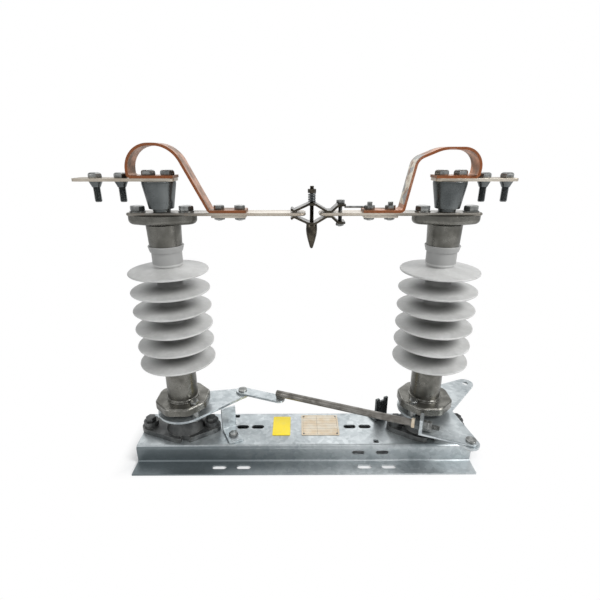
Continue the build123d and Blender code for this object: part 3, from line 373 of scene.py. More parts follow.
@dataclass(frozen=True)
class SiliconeRubber:
    """Matte grey silicone with a powdery bloom and the fine line of its mould, and painted shade
    round the stem between the sheds and on the neck.
    """

    name: str = "silicone_rubber"
    shade: Colour = (0.42, 0.42, 0.41)
    bloom: Colour = (0.54, 0.54, 0.53)
    # painted shade: near-black grey laid round the stem under the sheds
    grime: Colour = (0.085, 0.085, 0.08)
    # painted shade: darker grey for the neck, of the same silicone
    neck: Colour = (0.24, 0.24, 0.235)
    stem: float = 18.0 * MM
    # the painted shade round the stem fades out by this distance from the axis, and stays below the
    # height after it
    washed: float = 48.0 * MM
    sheltered_below: float = 309.0 * MM
    # height above which the neck gets its painted shade
    neck_above: float = 326.0 * MM
    seam_width: float = 0.0004

    def make(self) -> bpy.types.Material:
        """Build the material."""
        shader = Shader(self.name)
        across, depth, height = shader.axes()
        from_post = abs(across) - POST
        from_axis = from_post * from_post + depth * depth
        # Painted shade between the sheds: full at the stem, fading to none further out, and only
        # below the top shed.
        stem_shade = 1.0 - shader.spread(from_axis, self.stem**2, self.washed**2)
        stem_shade = stem_shade * height.below(self.sheltered_below)
        clouds = shader.spread(shader.noise(0.03, 4.0), 0.35, 0.65)
        streaks = shader.spread(shader.noise(0.006, 3.0, (1, 1, 0.15)), 0.4, 0.75)
        colour = shader.mix(clouds * 0.7 + streaks * 0.3, rgba(*self.shade), rgba(*self.bloom))
        # Mix in the painted shade round the stem, with a little cloud in it.
        colour = shader.mix(stem_shade * (clouds * 0.15 + 0.75), colour, rgba(*self.grime))
        # Painted shade on the neck: its upper part goes most of the way to a darker grey.
        colour = shader.mix(height.above(self.neck_above) * 0.75, colour, rgba(*self.neck))
        grain = shader.noise(0.0009, 2.0)
        seam = abs(depth).below(self.seam_width)
        relief = grain * 0.2 + seam * 0.8
        return shader.dress(
            Base_Color=colour,
            Metallic=0.0,
            Roughness=clouds * 0.10 + grain * 0.06 + 0.40,
            Normal=shader.bump(relief, 0.00006),
            Specular_IOR_Level=0.45,
        )


@dataclass(frozen=True)
class CopperFoil:
    """Bare copper foils with bright edges, tarnished faces and remains of tin on the right leg."""

    name: str = "copper_foils"
    bright: Colour = (0.50, 0.22, 0.11)
    edge: Colour = (0.35, 0.12, 0.05)
    tarnished: Colour = (0.20, 0.115, 0.07)
    stained: Colour = (0.10, 0.075, 0.05)
    tin: Colour = (0.60, 0.54, 0.43)
    dull_tin: Colour = (0.26, 0.265, 0.25)
    leg_near: float = 128.0 * MM
    leg_far: float = 158.0 * MM
    leg_foot: float = 410.0 * MM

    def make(self) -> bpy.types.Material:
        """Build the material."""
        shader = Shader(self.name)
        across, _, height = shader.axes()
        edges = shader.edge_band()
        clouds = shader.spread(shader.noise(0.018, 5.0), 0.32, 0.68)
        stains = shader.spread(shader.noise(0.007, 4.0), 0.56, 0.7)
        fine = shader.noise(0.0012, 2.0, (0.2, 1, 0.2))
        face = shader.mix(clouds, rgba(*self.tarnished), rgba(*self.bright))
        # The whole left strap is also mixed part way towards the stained colour, so it is darker
        # than the right one.
        left = shader.spread(across * -1.0, 0.0, 0.02)
        face = shader.mix(stains * 0.4 + left * 0.35, face, rgba(*self.stained))
        patches = shader.spread(shader.noise(0.020, 2.0, (0.6, 0.6, 1)), 0.46, 0.54)
        tinned = shader.mix(patches, rgba(*self.tin), rgba(*self.dull_tin))
        along = across.above(self.leg_near) * across.below(self.leg_far)
        leg = along * height.above(self.leg_foot) * shader.spread(clouds, 0.0, 0.5)
        face = shader.mix(leg, face, tinned)
        colour = shader.mix(edges * (clouds * 0.3 + 0.7), face, rgba(*self.edge))
        return shader.dress(
            Base_Color=colour,
            Metallic=0.85 - leg * 0.35,
            Roughness=0.40 - clouds * 0.10 + fine * 0.12 + stains * 0.1,
            Normal=shader.bump(fine, 0.00003),
        )


@dataclass(frozen=True)
class RuledPlate:
    """Pale etched brass with ruled empty fields and a border, all without lettering."""

    low: tuple[float, float]
    high: tuple[float, float]
    name: str = "ruled_plate"
    field_colour: Colour = (0.62, 0.50, 0.35)
    faded: Colour = (0.72, 0.66, 0.55)
    line_colour: Colour = (0.17, 0.13, 0.09)
    rows: int = 7
    border: float = 0.0025
    line: float = 0.0005
    split: float = 0.42

    def make(self) -> bpy.types.Material:
        """Build the material."""
        shader = Shader(self.name)
        across, back, _ = shader.axes()
        width = self.high[0] - self.low[0]
        depth = self.high[1] - self.low[1]
        from_side = width / 2 - abs(across - (self.low[0] + self.high[0]) / 2)
        from_end = depth / 2 - abs(back - (self.low[1] + self.high[1]) / 2)
        inside = from_side.above(self.border) * from_end.above(self.border)
        pitch = (depth - 2 * self.border) / self.rows
        rule = ((back - (self.low[1] + self.border)) / pitch).cell_share().below(self.line / pitch)
        column = abs(across - (self.low[0] + width * self.split)).below(self.line / 2)
        edge = from_side.below(self.border + self.line).larger(
            from_end.below(self.border + self.line)
        )
        ink = rule.larger(column).larger(edge) * inside
        clouds = shader.spread(shader.noise(0.012, 4.0), 0.3, 0.7)
        plain = shader.mix(clouds, rgba(*self.field_colour), rgba(*self.faded))
        colour = shader.mix(ink * 0.8, plain, rgba(*self.line_colour))
        grain = shader.noise(0.001, 2.0, (0.3, 1, 1))
        return shader.dress(
            Base_Color=colour,
            Metallic=0.45 - ink * 0.4,
            Roughness=clouds * 0.1 + grain * 0.1 + 0.36,
            Normal=shader.bump(grain * 0.4 - ink, 0.00004),
        )


@dataclass(frozen=True)
class YellowFilm:
    """Plain glossy yellow film with faint dust and rubbed patches."""

    name: str = "yellow_film"
    colour: Colour = (0.93, 0.72, 0.01)
    dusty: Colour = (0.86, 0.70, 0.10)

    def make(self) -> bpy.types.Material:
        """Build the material."""
        shader = Shader(self.name)
        dust = shader.spread(shader.noise(0.008, 4.0), 0.45, 0.7)
        grain = shader.noise(0.0015, 2.0)
        return shader.dress(
            Base_Color=shader.mix(dust * 0.5, rgba(*self.colour), rgba(*self.dusty)),
            Metallic=0.0,
            Roughness=dust * 0.15 + grain * 0.05 + 0.32,
            Normal=shader.bump(grain, 0.00001),
        )


METALS = {
    Slot.GALVANISED: Metal(
        "galvanised_sheet", (0.33, 0.365, 0.38), (0.60, 0.635, 0.645), (0.12, 0.145, 0.155),
        metallic=0.8, roughness=0.38, cloud=0.05, spangle=0.006, grain_depth=0.000010,
        # painted shade, darker towards the left end of the base
        weathered_end=0.85,
    ),
    Slot.DARK_CASTING: Metal(
        "dark_seat_casting", (0.048, 0.050, 0.050), (0.115, 0.118, 0.115), (0.24, 0.24, 0.23),
        metallic=0.6, roughness=0.36, cloud=0.018, grain=0.0016, grain_depth=0.00007,
    ),
    Slot.GREY_CASTING: Metal(
        "grey_casting", (0.098, 0.095, 0.083), (0.19, 0.185, 0.167), (0.36, 0.355, 0.33),
        metallic=0.8, roughness=0.29, cloud=0.02, grain=0.0014, grain_depth=0.00002,
    ),
    Slot.BRONZE: Metal(
        "dark_spring_bronze", (0.028, 0.024, 0.018), (0.085, 0.074, 0.056), (0.24, 0.21, 0.16),
        metallic=0.85, roughness=0.30, cloud=0.008, grain_depth=0.00002,
    ),
    Slot.ZINC: Metal(
        "zinc_fasteners", (0.16, 0.165, 0.16), (0.36, 0.365, 0.355), (0.50, 0.50, 0.48),
        metallic=0.9, roughness=0.30, cloud=0.006, grain=0.0008, grain_depth=0.00002,
    ),
    Slot.DARK_STEEL: Metal(
        "dark_grey_steel", (0.070, 0.077, 0.078), (0.130, 0.140, 0.140), (0.24, 0.245, 0.24),
        metallic=0.8, roughness=0.24, cloud=0.04, grain=0.0016, grain_depth=0.000006,
    ),
    Slot.LINK_STEEL: Metal(
        "drawn_tube_steel", (0.125, 0.116, 0.102), (0.24, 0.228, 0.208), (0.30, 0.28, 0.26),
        metallic=0.65, roughness=0.36, cloud=0.012, grain_depth=0.00003,
    ),
}


class Workshop:
    """Holds the loaded frame and fits each finished piece to it."""

    def __init__(self, frame: dict[str, Any]) -> None:
        """Read slots from the record and make the materials."""
        self.frame = frame
        self.slots = {
            row["node"]: Slot(row["material_slot"]) for row in frame["record"]["subparts"]
        }
        self.materials = {slot: metal.make() for slot, metal in METALS.items()}
        self.materials[Slot.TINNED] = TinnedCopper().make()
        self.materials[Slot.SILICONE] = SiliconeRubber().make()
        self.materials[Slot.COPPER] = CopperFoil().make()
        self.materials[Slot.YELLOW] = YellowFilm().make()
        low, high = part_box("name_plate")
        self.materials[Slot.BRASS] = RuledPlate((low.x, low.y), (high.x, high.y)).make()
        self.waiting = set(frame["nodes"])

    def body_of(self, node: str) -> str:
        """Body that a node belongs to."""
        return self.frame["nodes"][node]["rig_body"]

    def solid(self, name: str, bm: bmesh.types.BMesh, smooth_angle: float) -> bpy.types.Object:
        """Turn a finished bmesh into an object.

        Args:
            name: The piece's name.
            bm: The mesh being built; it is freed.
            smooth_angle: Edges sharper than this, in degrees, stay sharp.

        Returns:
            The object, at the origin and in the scene.
        """
        mesh = bpy.data.meshes.new(name)
        bm.to_mesh(mesh)
        bm.free()
        piece = bpy.data.objects.new(name, mesh)
        bpy.context.scene.collection.objects.link(piece)
        mesh.shade_smooth()
        mesh.set_sharp_from_angle(angle=math.radians(smooth_angle))
        return piece

    def fit(
        self,
        piece: bpy.types.Object,
        slot: Slot,
        body: str | None,
        nodes: Iterable[str] = (),
    ) -> bpy.types.Object:
        """Give a piece its material and body, and let it stand for CAD nodes.

        Args:
            piece: The finished piece.
            slot: The material slot it takes its finish from.
            body: The body it rides on, or None to leave it on no body.
            nodes: CAD nodes that it stands for.

        Returns:
            The piece.
        """
        piece.data.materials.clear()
        piece.data.materials.append(self.materials[slot])
        if body is not None:
            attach(piece, body)
        for node in nodes:
            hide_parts(node)
            self.waiting.discard(node)
        LOG.info("%s: %d faces", piece.name, len(piece.data.polygons))
        return piece

    def stand_in(
        self, node: str, name: str, bm: bmesh.types.BMesh, slot: Slot, smooth_angle: float
    ) -> None:
        """Close off a mesh as the piece that stands for a node, on the node's body."""
        face_outwards(bm)
        self.fit(self.solid(name, bm, smooth_angle), slot, self.body_of(node), [node])

    def merged(self, node: str) -> bmesh.types.BMesh:
        """Copy of a node's mesh with its loose triangles joined."""
        bm = bmesh.new()
        bm.from_mesh(self.frame["nodes"][node].data)
        bmesh.ops.remove_doubles(bm, verts=bm.verts, dist=0.004 * MM)
        return bm

    def soften(self, node: str, rounding: float) -> bpy.types.Object:
        """Stand-in for a node with its flat faces made whole and its edges rounded.

        Args:
            node: The CAD node.
            rounding: Width of the rounded edges, in metres.

        Returns:
            The fitted piece.
        """
        bm = self.merged(node)
        bmesh.ops.dissolve_limit(
            bm, angle_limit=math.radians(0.4), verts=bm.verts, edges=bm.edges
        )
        sharp = [
            edge for edge in bm.edges
            if len(edge.link_faces) == 2 and edge.calc_face_angle(0) > math.radians(28)
        ]
        band = bm.faces.layers.float.new(EDGE_BAND)
        made = bmesh.ops.bevel(
            bm, geom=sharp, offset=rounding, affect="EDGES", segments=2, profile=0.5,
            material=-1, clamp_overlap=True,
        )
        for face in made["faces"]:
            face[band] = 1.0
        piece = self.solid(f"{node}_finished", bm, 50.0)
        piece.modifiers.new("flat_faces", "WEIGHTED_NORMAL").keep_sharp = True
        return self.fit(piece, self.slots[node], self.body_of(node), [node])

    def islands(self, node: str) -> list[Box]:
        """Lowest and highest corner of each separate solid of a node."""
        bm = self.merged(node)
        bm.verts.ensure_lookup_table()
        unseen = set(bm.verts)
        boxes = []
        while unseen:
            group = [unseen.pop()]
            for vert in group:
                for edge in vert.link_edges:
                    other = edge.other_vert(vert)
                    if other in unseen:
                        unseen.remove(other)
                        group.append(other)
            low = Vector(min(v.co[axis] for v in group) for axis in range(3))
            high = Vector(max(v.co[axis] for v in group) for axis in range(3))
            boxes.append((low, high))
        bm.free()
        return sorted(boxes, key=lambda pair: (pair[0].x, pair[0].y))


def lathe(
    bm: bmesh.types.BMesh,
    outline: Sequence[tuple[float, float]],
    centre: Vector,
    steps: int = 32,
) -> None:
    """Turn an outline of radius and height round an upright axis through a centre.

    Args:
        bm: The mesh to add to.
        outline: Points as distance from the axis and height along it, in metres.
        centre: Where the axis has height 0.
        steps: Number of faces round.
    """
    points = [bm.verts.new(centre + Vector((radius, 0, height))) for radius, height in outline]
    edges = [bm.edges.new(pair) for pair in zip(points, points[1:])]
    bmesh.ops.spin(
        bm, geom=points + edges, cent=centre, axis=(0, 0, 1), angle=FULL_TURN, steps=steps,
        use_merge=True,
    )
    bmesh.ops.remove_doubles(bm, verts=bm.verts, dist=0.002 * MM)


def face_outwards(bm: bmesh.types.BMesh) -> None:
    """Turn every face of closed shells outwards."""
    bmesh.ops.recalc_face_normals(bm, faces=bm.faces)


def drum_outline(radius: float, bottom: float, top: float, soft: float) -> Outline:
    """Outline of a drum whose two rims are cut off by a small width."""
    return [
        (0, bottom), (radius - soft, bottom), (radius, bottom + soft),
        (radius, top - soft), (radius - soft, top), (0, top),
    ]


def thread_outline(radius: float, bottom: float, top: float, pitch: float) -> Outline:
    """Zigzag outline of a screw thread between two heights, from the bottom up."""
    depth = 0.55 * pitch
    count = max(int(round((top - bottom) / pitch)), 1)
    step = (top - bottom) / count
    outline = []
    for turn in range(count):
        start = bottom + turn * step
        outline.append((radius - depth, start))
        outline.append((radius, start + step / 2))
    outline.append((radius - depth, top))
    return outline


@dataclass(frozen=True)
class HexFastener:
    """Hexagon bolt with chamfered head, washer and threaded shank."""

    flats: float
    head: float
    nut: float
    shank: float
    pitch: float = 1.5 * MM
    washer: float = 0.0
    washer_radius: float = 0.0

    def prism(
        self,
        bm: bmesh.types.BMesh,
        centre: Vector,
        bottom: float,
        height: float,
        crown: float = 0.06,
    ) -> None:
        """Hexagon with rounded rims, standing at a height.

        Args:
            bm: The mesh to add to.
            centre: Place seen from above.
            bottom: Height of its foot.
            height: Its own height.
            crown: Rounding of the upper rim as a share of the width over flats.
        """
        corner = self.flats / 2 / math.cos(math.pi / 6)
        place = Matrix.Translation((centre.x, centre.y, bottom + height / 2))
        turned = place @ Matrix.Rotation(math.pi / 6, 4, "Z")
        made = bmesh.ops.create_cone(
            bm, cap_ends=True, segments=6, radius1=corner, radius2=corner, depth=height,
            matrix=turned,
        )
        edges = {edge for vert in made["verts"] for edge in vert.link_edges}
        middle = bottom + height / 2
        upper = [edge for edge in edges if all(vert.co.z > middle for vert in edge.verts)]
        lower = [edge for edge in edges if all(vert.co.z < middle for vert in edge.verts)]
        for rims, share in ((upper, crown), (lower, 0.05)):
            bmesh.ops.bevel(
                bm, geom=rims, offset=share * self.flats, affect="EDGES", segments=3,
                profile=0.5, material=-1,
            )

    def ring(
        self, bm: bmesh.types.BMesh, centre: Vector, radius: float, bottom: float, height: float
    ) -> None:
        """Washer or plain collar with softened edges."""
        soft = min(0.25 * MM, height / 4)
        outline = drum_outline(radius, bottom, bottom + height, soft)
        lathe(bm, outline, Vector((centre.x, centre.y, 0)))

    def screw(self, bm: bmesh.types.BMesh, centre: Vector, bottom: float, top: float) -> None:
        """Threaded shank with a chamfered end at its bottom."""
        outline = [(0, bottom), (self.shank - self.pitch * 0.7, bottom)]
        outline += thread_outline(self.shank, bottom + self.pitch / 2, top, self.pitch)
        outline.append((0, top))
        lathe(bm, outline, Vector((centre.x, centre.y, 0)), 24)


@dataclass
class Fasteners:
    """All bolts of the switch, placed where the CAD bolts are."""

    workshop: Workshop

    SEAT = HexFastener(15 * MM, 7 * MM, 6 * MM, 5 * MM)
    SMALL = HexFastener(13 * MM, 5.5 * MM, 5 * MM, 4 * MM, pitch=1.25 * MM)
    EAR = HexFastener(18 * MM, 7 * MM, 0, 5 * MM, washer=1.5 * MM, washer_radius=11 * MM)
    LINE = HexFastener(16.5 * MM, 7 * MM, 0, 5 * MM)
    CUP = HexFastener(17 * MM, 7 * MM, 0, 4.5 * MM)
    FINGER = HexFastener(10 * MM, 5 * MM, 5 * MM, 3 * MM, pitch=1 * MM)
    TALL_SEAT_BOLT = 30 * MM
    DOME = 0.2
    COLLAR = ((9.0 * MM, 0.0), (8.6 * MM, -1.2 * MM), (6.2 * MM, -6.2 * MM), (5.6 * MM, -8.0 * MM))
    SPACER_RADIUS = 6.5 * MM
    SPACER = (76 * MM, 86 * MM)
    CLAMP_POST = 10 * MM

    def centre(self, box: Box) -> Vector:
        """Middle of a bolt, seen from above."""
        return (box[0] + box[1]) / 2

    def through(
        self, bm: bmesh.types.BMesh, kind: HexFastener, box: Box, rise: float = 0.0
    ) -> None:
        """Bolt through a joint, head up and nut down.

        Args:
            bm: The mesh to add to.
            kind: The bolt's sizes.
            box: Corners of the CAD bolt.
            rise: Length of shank that stands above the head.
        """
        centre = self.centre(box)
        bottom = box[0].z
        top = box[1].z - rise
        kind.prism(bm, centre, top - kind.head, kind.head, 0.1)
        if kind.washer:
            kind.ring(bm, centre, kind.washer_radius, top - kind.head - kind.washer, kind.washer)
        if kind.nut:
            kind.prism(bm, centre, bottom + 0.2 * kind.nut, 0.8 * kind.nut)
        kind.screw(bm, centre, bottom, top - kind.head)
        if rise:
            kind.screw(bm, centre, top - kind.head / 2, box[1].z)

    def finish(
        self, bm: bmesh.types.BMesh, node: str, part: str = "threaded", slot: Slot = Slot.ZINC
    ) -> None:
        """Close off bolts of one node as a piece.

        Args:
            bm: The bolts' mesh.
            node: The CAD node that they stand for.
            part: Ending of the piece's name.
            slot: The material slot of their finish.
        """
        self.workshop.stand_in(node, f"{node}_{part}", bm, slot, 28.0)

    def base(self) -> None:
        """Bolts of the seats, painted over with them, and bright bolts of the stops."""
        painted = bmesh.new()
        bright = bmesh.new()
        for box in self.workshop.islands("base_bolts"):
            if box[1].z - box[0].z > self.TALL_SEAT_BOLT:
                self.through(painted, self.SEAT, box)
            else:
                self.through(bright, self.SMALL, box)
        self.finish(painted, "base_bolts", "of_seats", Slot.DARK_CASTING)
        self.finish(bright, "base_bolts", "of_stops")

    def row(
        self, node: str, kind: HexFastener, rise: float = 0.0, spaced: bool = False
    ) -> None:
        """All bolts of one node, which are alike.

        Args:
            node: The CAD node.
            kind: The bolts' sizes.
            rise: Length of shank that stands above the heads.
            spaced: True where a spacer sits between the post's flange and the lever.
        """
        bm = bmesh.new()
        for box in self.workshop.islands(node):
            self.through(bm, kind, box, rise)
            if spaced:
                bottom, top = self.SPACER
                kind.ring(bm, self.centre(box), self.SPACER_RADIUS, bottom, top - bottom)
        self.finish(bm, node)

    def terminal(self, side: Side) -> None:
        """Two hanging line bolts with dark shanks and collars, and two short bolts on the cup."""
        node = f"{side.label}_terminal_bolts"
        heads = bmesh.new()
        shanks = bmesh.new()
        boxes = self.workshop.islands(node)
        lowest = min(box[0].z for box in boxes)
        bar_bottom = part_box(f"{side.label}_terminal_bar")[0].z
        for box in boxes:
            centre = self.centre(box)
            kind = self.LINE if box[0].z < lowest + 1 * MM else self.CUP
            kind.prism(heads, centre, box[1].z - kind.head, kind.head, self.DOME)
            kind.screw(shanks, centre, box[0].z, box[1].z - kind.head)
            if kind is self.LINE:
                collar = [(radius, bar_bottom + drop) for radius, drop in self.COLLAR]
                closed = [(0, bar_bottom)] + collar + [(0, collar[-1][1])]
                lathe(shanks, closed, Vector((centre.x, centre.y, 0)), 28)
        self.finish(heads, node, "heads")
        self.finish(shanks, node, "shanks", Slot.DARK_STEEL)

    def build(self) -> None:
        """Make every bolt; the right clamp bolts carry a taller shank."""
        self.base()
        for side in Side:
            rise = self.CLAMP_POST - self.SMALL.head if side is Side.RIGHT else 0.0
            self.row(f"{side.label}_flange_bolts", self.SMALL, spaced=True)
            self.row(f"{side.label}_ear_bolts", self.EAR)
            self.row(f"{side.label}_clamp_bolts", self.SMALL, rise)
            self.terminal(side)
        self.row("finger_bolt", self.FINGER)


@dataclass
class Insulator:
    """Silicone housing with six thin sheds, a neck and a collar."""

    workshop: Workshop
    side: Side
    core: float = 18.5 * MM
    shed: float = 57.5 * MM
    rim: float = 1.6 * MM
    sheds: int = 6
    pitch: float = 28.9 * MM
    first_rim: float = 169.3 * MM
    root_rise: float = 7.0 * MM
    root_fall: float = 3.5 * MM
    root_fillet: float = 3.0 * MM
    neck: float = 21.5 * MM
    collar_foot: float = 23.1 * MM
    collar_head: float = 25.6 * MM
    collar_height: float = 9.0 * MM
    rim_steps: int = 6
    turns: int = 96

    def shed_outline(self, rim: float) -> Outline:
        """One shed from its lower root over the round rim to its upper root."""
        edge = self.shed - self.rim
        outline = [
            (self.core, rim - self.root_fall - self.root_fillet),
            (self.core + 0.3 * self.root_fillet, rim - self.root_fall - 0.3 * self.root_fillet),
            (self.core + self.root_fillet, rim - self.root_fall + 0.05 * MM),
        ]
        for step in range(self.rim_steps + 1):
            angle = math.pi * (step / self.rim_steps - 0.5)
            outline.append((edge + self.rim * math.cos(angle), rim + self.rim * math.sin(angle)))
        slope = (self.root_rise - self.rim) / (edge - self.core)
        start = self.core + self.root_fillet
        height = rim + self.root_rise - slope * self.root_fillet
        outline.append((start, height))
        outline.append((self.core + 0.3 * self.root_fillet, height + 0.35 * self.root_fillet))
        outline.append((self.core, height + self.root_fillet))
        return outline

    def build(self) -> None:
        """Turn the housing round its post."""
        node = f"{self.side.label}_insulator"
        low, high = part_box(node)
        outline = [(0, low.z), (self.core, low.z)]
        for index in range(self.sheds):
            outline += self.shed_outline(self.first_rim + index * self.pitch)
        top_height = outline[-1][1]
        outline[-1] = (self.neck, top_height)
        collar_bottom = high.z - self.collar_height
        outline += [
            (self.neck, collar_bottom),
            (self.collar_foot, collar_bottom + 0.4 * MM),
            (self.collar_head - 0.3 * MM, high.z - 0.8 * MM),
            (self.collar_head - 0.8 * MM, high.z),
            (0, high.z),
        ]
        bm = bmesh.new()
        lathe(bm, outline, Vector(((low.x + high.x) / 2, 0, 0)), self.turns)
        name = f"{self.side.label}_shed_housing"
        self.workshop.stand_in(node, name, bm, Slot.SILICONE, 40.0)


@dataclass
class CopperStrap:
    """Flexible strap of copper foils that loops from the cup's top down to the blade."""

    workshop: Workshop
    side: Side
    foils: int = 6
    foil: float = 0.52 * MM
    stack: float = 3.6 * MM
    width: float = 29.0 * MM
    heel_reach: float = 24.0 * MM
    blade_reach: float = 119.0 * MM
    seam_reach: float = 30.0 * MM
    blend_reach: float = 64 * MM
    sway: float = 0.18 * MM
    arc_steps: int = 14

    LEFT_BULGE = 36.5 * MM
    LEFT_RISE = 41 * MM
    LEFT_SHOULDER = 24.5 * MM
    LEFT_FOOT = 68.5 * MM
    LEFT_BENDS = (5 * MM, 32 * MM, 38 * MM, 5 * MM)
    RIGHT_BULGE = 37 * MM
    RIGHT_LEAN = 5 * MM
    RIGHT_RISE = 36 * MM
    RIGHT_SHOULDER = 18 * MM
    RIGHT_KNEE = 51 * MM
    RIGHT_KNEE_DROP = 13.5 * MM
    RIGHT_FOOT = 64.5 * MM
    RIGHT_BENDS = (5 * MM, 24.5 * MM, 45 * MM, 16 * MM, 5 * MM)

    def corners(self) -> tuple[Outline, Sequence[float]]:
        """Corners of the middle line from the cup to the blade, and their bends."""
        sign = self.side.value
        _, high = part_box(f"{self.side.label}_terminal_bar")
        _, blade_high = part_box(f"{self.side.label}_blade")
        post = POST * sign
        bar_line = high.z + self.stack / 2
        blade_line = blade_high.z + self.stack / 2
        heel = (post - sign * self.heel_reach, bar_line)
        foot = (post - sign * self.blade_reach, blade_line)
        if self.side is Side.LEFT:
            bulge = post + sign * self.LEFT_BULGE
            top = bar_line + self.LEFT_RISE
            points = [
                heel,
                (bulge, bar_line),
                (bulge, top),
                (post - sign * self.LEFT_SHOULDER, top),
                (post - sign * self.LEFT_FOOT, blade_line),
                foot,
            ]
            return points, self.LEFT_BENDS
        bulge = post + sign * self.RIGHT_BULGE
        top = bar_line + self.RIGHT_RISE
        points = [
            heel,
            (bulge - sign * self.RIGHT_LEAN, bar_line),
            (bulge, top),
            (post - sign * self.RIGHT_SHOULDER, top),
            (post - sign * self.RIGHT_KNEE, top - self.RIGHT_KNEE_DROP),
            (post - sign * self.RIGHT_FOOT, blade_line),
            foot,
        ]
        return points, self.RIGHT_BENDS

    def line(self, offset: float) -> list[Vector]:
        """One foil's middle line, at an offset from the strap's middle.

        Args:
            offset: Distance from the middle line, positive to its left.

        Returns:
            Points in the XZ plane, with arcs at the bends.
        """
        points, bends = self.corners()
        route = [Vector(point) for point in points]
        legs = [(after - before).normalized() for before, after in zip(route, route[1:])]
        normal = Vector((-legs[0].y, legs[0].x))
        line = [route[0] + normal * offset]
        for here, arrival, departure, bend in zip(route[1:-1], legs, legs[1:], bends):
            turn = arrival.angle_signed(departure) * -1
            reach = bend * math.tan(abs(turn) / 2)
            side = math.copysign(1, turn)
            normal = Vector((-arrival.y, arrival.x))
            hub = here - arrival * reach + normal * side * bend
            start = -normal * side
            for step in range(self.arc_steps + 1):
                angle = turn * step / self.arc_steps
                spoke = Matrix.Rotation(angle, 2) @ start
                line.append(hub + spoke * (bend - side * offset))
        normal = Vector((-legs[-1].y, legs[-1].x))
        line.append(route[-1] + normal * offset)
        return line

    def foil_strip(self, bm: bmesh.types.BMesh, line: Sequence[Vector], sway: float) -> None:
        """One thin foil along a line."""
        half = self.width / 2
        rows = [bm.verts.new((point.x, sway - half, point.y)) for point in line]
        edges = [bm.edges.new(pair) for pair in zip(rows, rows[1:])]
        made = bmesh.ops.extrude_edge_only(bm, edges=edges)
        moved = [item for item in made["geom"] if isinstance(item, bmesh.types.BMVert)]
        bmesh.ops.translate(bm, verts=moved, vec=(0, self.width, 0))
        faces = [item for item in made["geom"] if isinstance(item, bmesh.types.BMFace)]
        bmesh.ops.solidify(bm, geom=faces, thickness=self.foil)

    def foil_stack(self, name: str, first: bool) -> bpy.types.Object:
        """The strap's foils on one side of the seam over the cup.

        Args:
            name: The piece's name.
            first: True for the flat part on the cup, False for the loop and the foot.

        Returns:
            The piece, not fitted yet.
        """
        bm = bmesh.new()
        pitch = (self.stack - self.foil) / (self.foils - 1)
        seam = POST * self.side.value + self.side.value * self.seam_reach
        for index in range(self.foils):
            offset = pitch * (index - (self.foils - 1) / 2)
            line = self.line(offset - self.foil / 2)
            cut = Vector((seam, line[0].y))
            line = [line[0], cut] if first else [cut] + line[1:]
            sway = self.sway * math.sin(2.4 * index + self.side.value)
            self.foil_strip(bm, line, sway)
        face_outwards(bm)
        band = bm.faces.layers.float.new(EDGE_BAND)
        for face in bm.faces:
            face.normal_update()
            face[band] = 1.0 if abs(face.normal.y) > 0.7 else 0.0
        return self.workshop.solid(name, bm, 40.0)

    def build(self) -> None:
        """Make the flat part, which stays with the cup, and the loop down to the blade, which is
        left on no body.
        """
        label = self.side.label
        node = f"{label}_copper_strap"
        heel = self.foil_stack(f"{label}_strap_heel", True)
        self.workshop.fit(heel, Slot.COPPER, f"{label}_terminal", [node])
        loop = self.foil_stack(f"{label}_strap_loop", False)
        self.workshop.fit(loop, Slot.COPPER, None, [node])
        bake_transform(loop)


@dataclass
class Contact:
    """Spring stack on the contact fingers, with a coil spring and a threaded bolt."""

    workshop: Workshop
    wire: float = 0.9 * MM
    coils: float = 5.0
    steps_per_turn: int = 24

    NUT = HexFastener(10 * MM, 5.5 * MM, 5.5 * MM, 3 * MM, pitch=1 * MM)
    THREAD_OVERLAP = 1 * MM
    GUIDE_HEAD = (
        (7.0 * MM, 0.0), (7.6 * MM, 0.8 * MM), (8.0 * MM, 9 * MM), (7.4 * MM, 15 * MM),
        (5.6 * MM, 23 * MM),
    )
    GUIDE_TIP = ((3.3 * MM, 5 * MM), (2.3 * MM, 1.6 * MM), (1.3 * MM, 0.3 * MM))

    def spring(self) -> None:
        """Coil wound between the upper finger and the bolt's cap."""
        low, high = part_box("contact_spring")
        centre = Vector(((low.x + high.x) / 2, 0, low.z + self.wire))
        radius = (high.x - low.x) / 2 - self.wire
        bm = bmesh.new()
        facing = Matrix.Rotation(math.pi / 2, 4, "X")
        place = Matrix.Translation(centre + Vector((radius, 0, 0)))
        made = bmesh.ops.create_circle(
            bm, cap_ends=False, segments=10, radius=self.wire, matrix=place @ facing
        )
        verts = made["verts"]
        edges = list({edge for vert in verts for edge in vert.link_edges})
        steps = int(self.coils * self.steps_per_turn)
        climb = high.z - low.z - 2 * self.wire
        bmesh.ops.spin(
            bm, geom=verts + edges, cent=centre, axis=(0, 0, 1), dvec=(0, 0, climb / steps),
            angle=FULL_TURN * self.coils, steps=steps,
        )
        ends = [edge for edge in bm.edges if edge.is_boundary]
        bmesh.ops.holes_fill(bm, edges=ends, sides=0)
        self.workshop.stand_in("contact_spring", "contact_coil", bm, Slot.DARK_STEEL, 60.0)

    def bolt(self) -> None:
        """Spring bolt with lock nuts on top and the pointed guide below."""
        low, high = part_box("contact_spring_bolt")
        _, spring_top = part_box("contact_spring")
        finger_low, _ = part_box("lower_contact_finger")
        centre = Vector(((low.x + high.x) / 2, 0, 0))
        head = finger_low.z
        tip = low.z
        bm = bmesh.new()
        self.NUT.screw(bm, centre, head - self.THREAD_OVERLAP, high.z)
        self.NUT.prism(bm, centre, spring_top.z, self.NUT.head)
        guide = [(0, head)]
        guide += [(radius, head - drop) for radius, drop in self.GUIDE_HEAD]
        guide += [(radius, tip + rise) for radius, rise in self.GUIDE_TIP]
        guide.append((0, tip))
        lathe(bm, guide, centre, 40)
        self.workshop.stand_in(
            "contact_spring_bolt", "contact_guide_bolt", bm, Slot.BRONZE, 35.0
        )


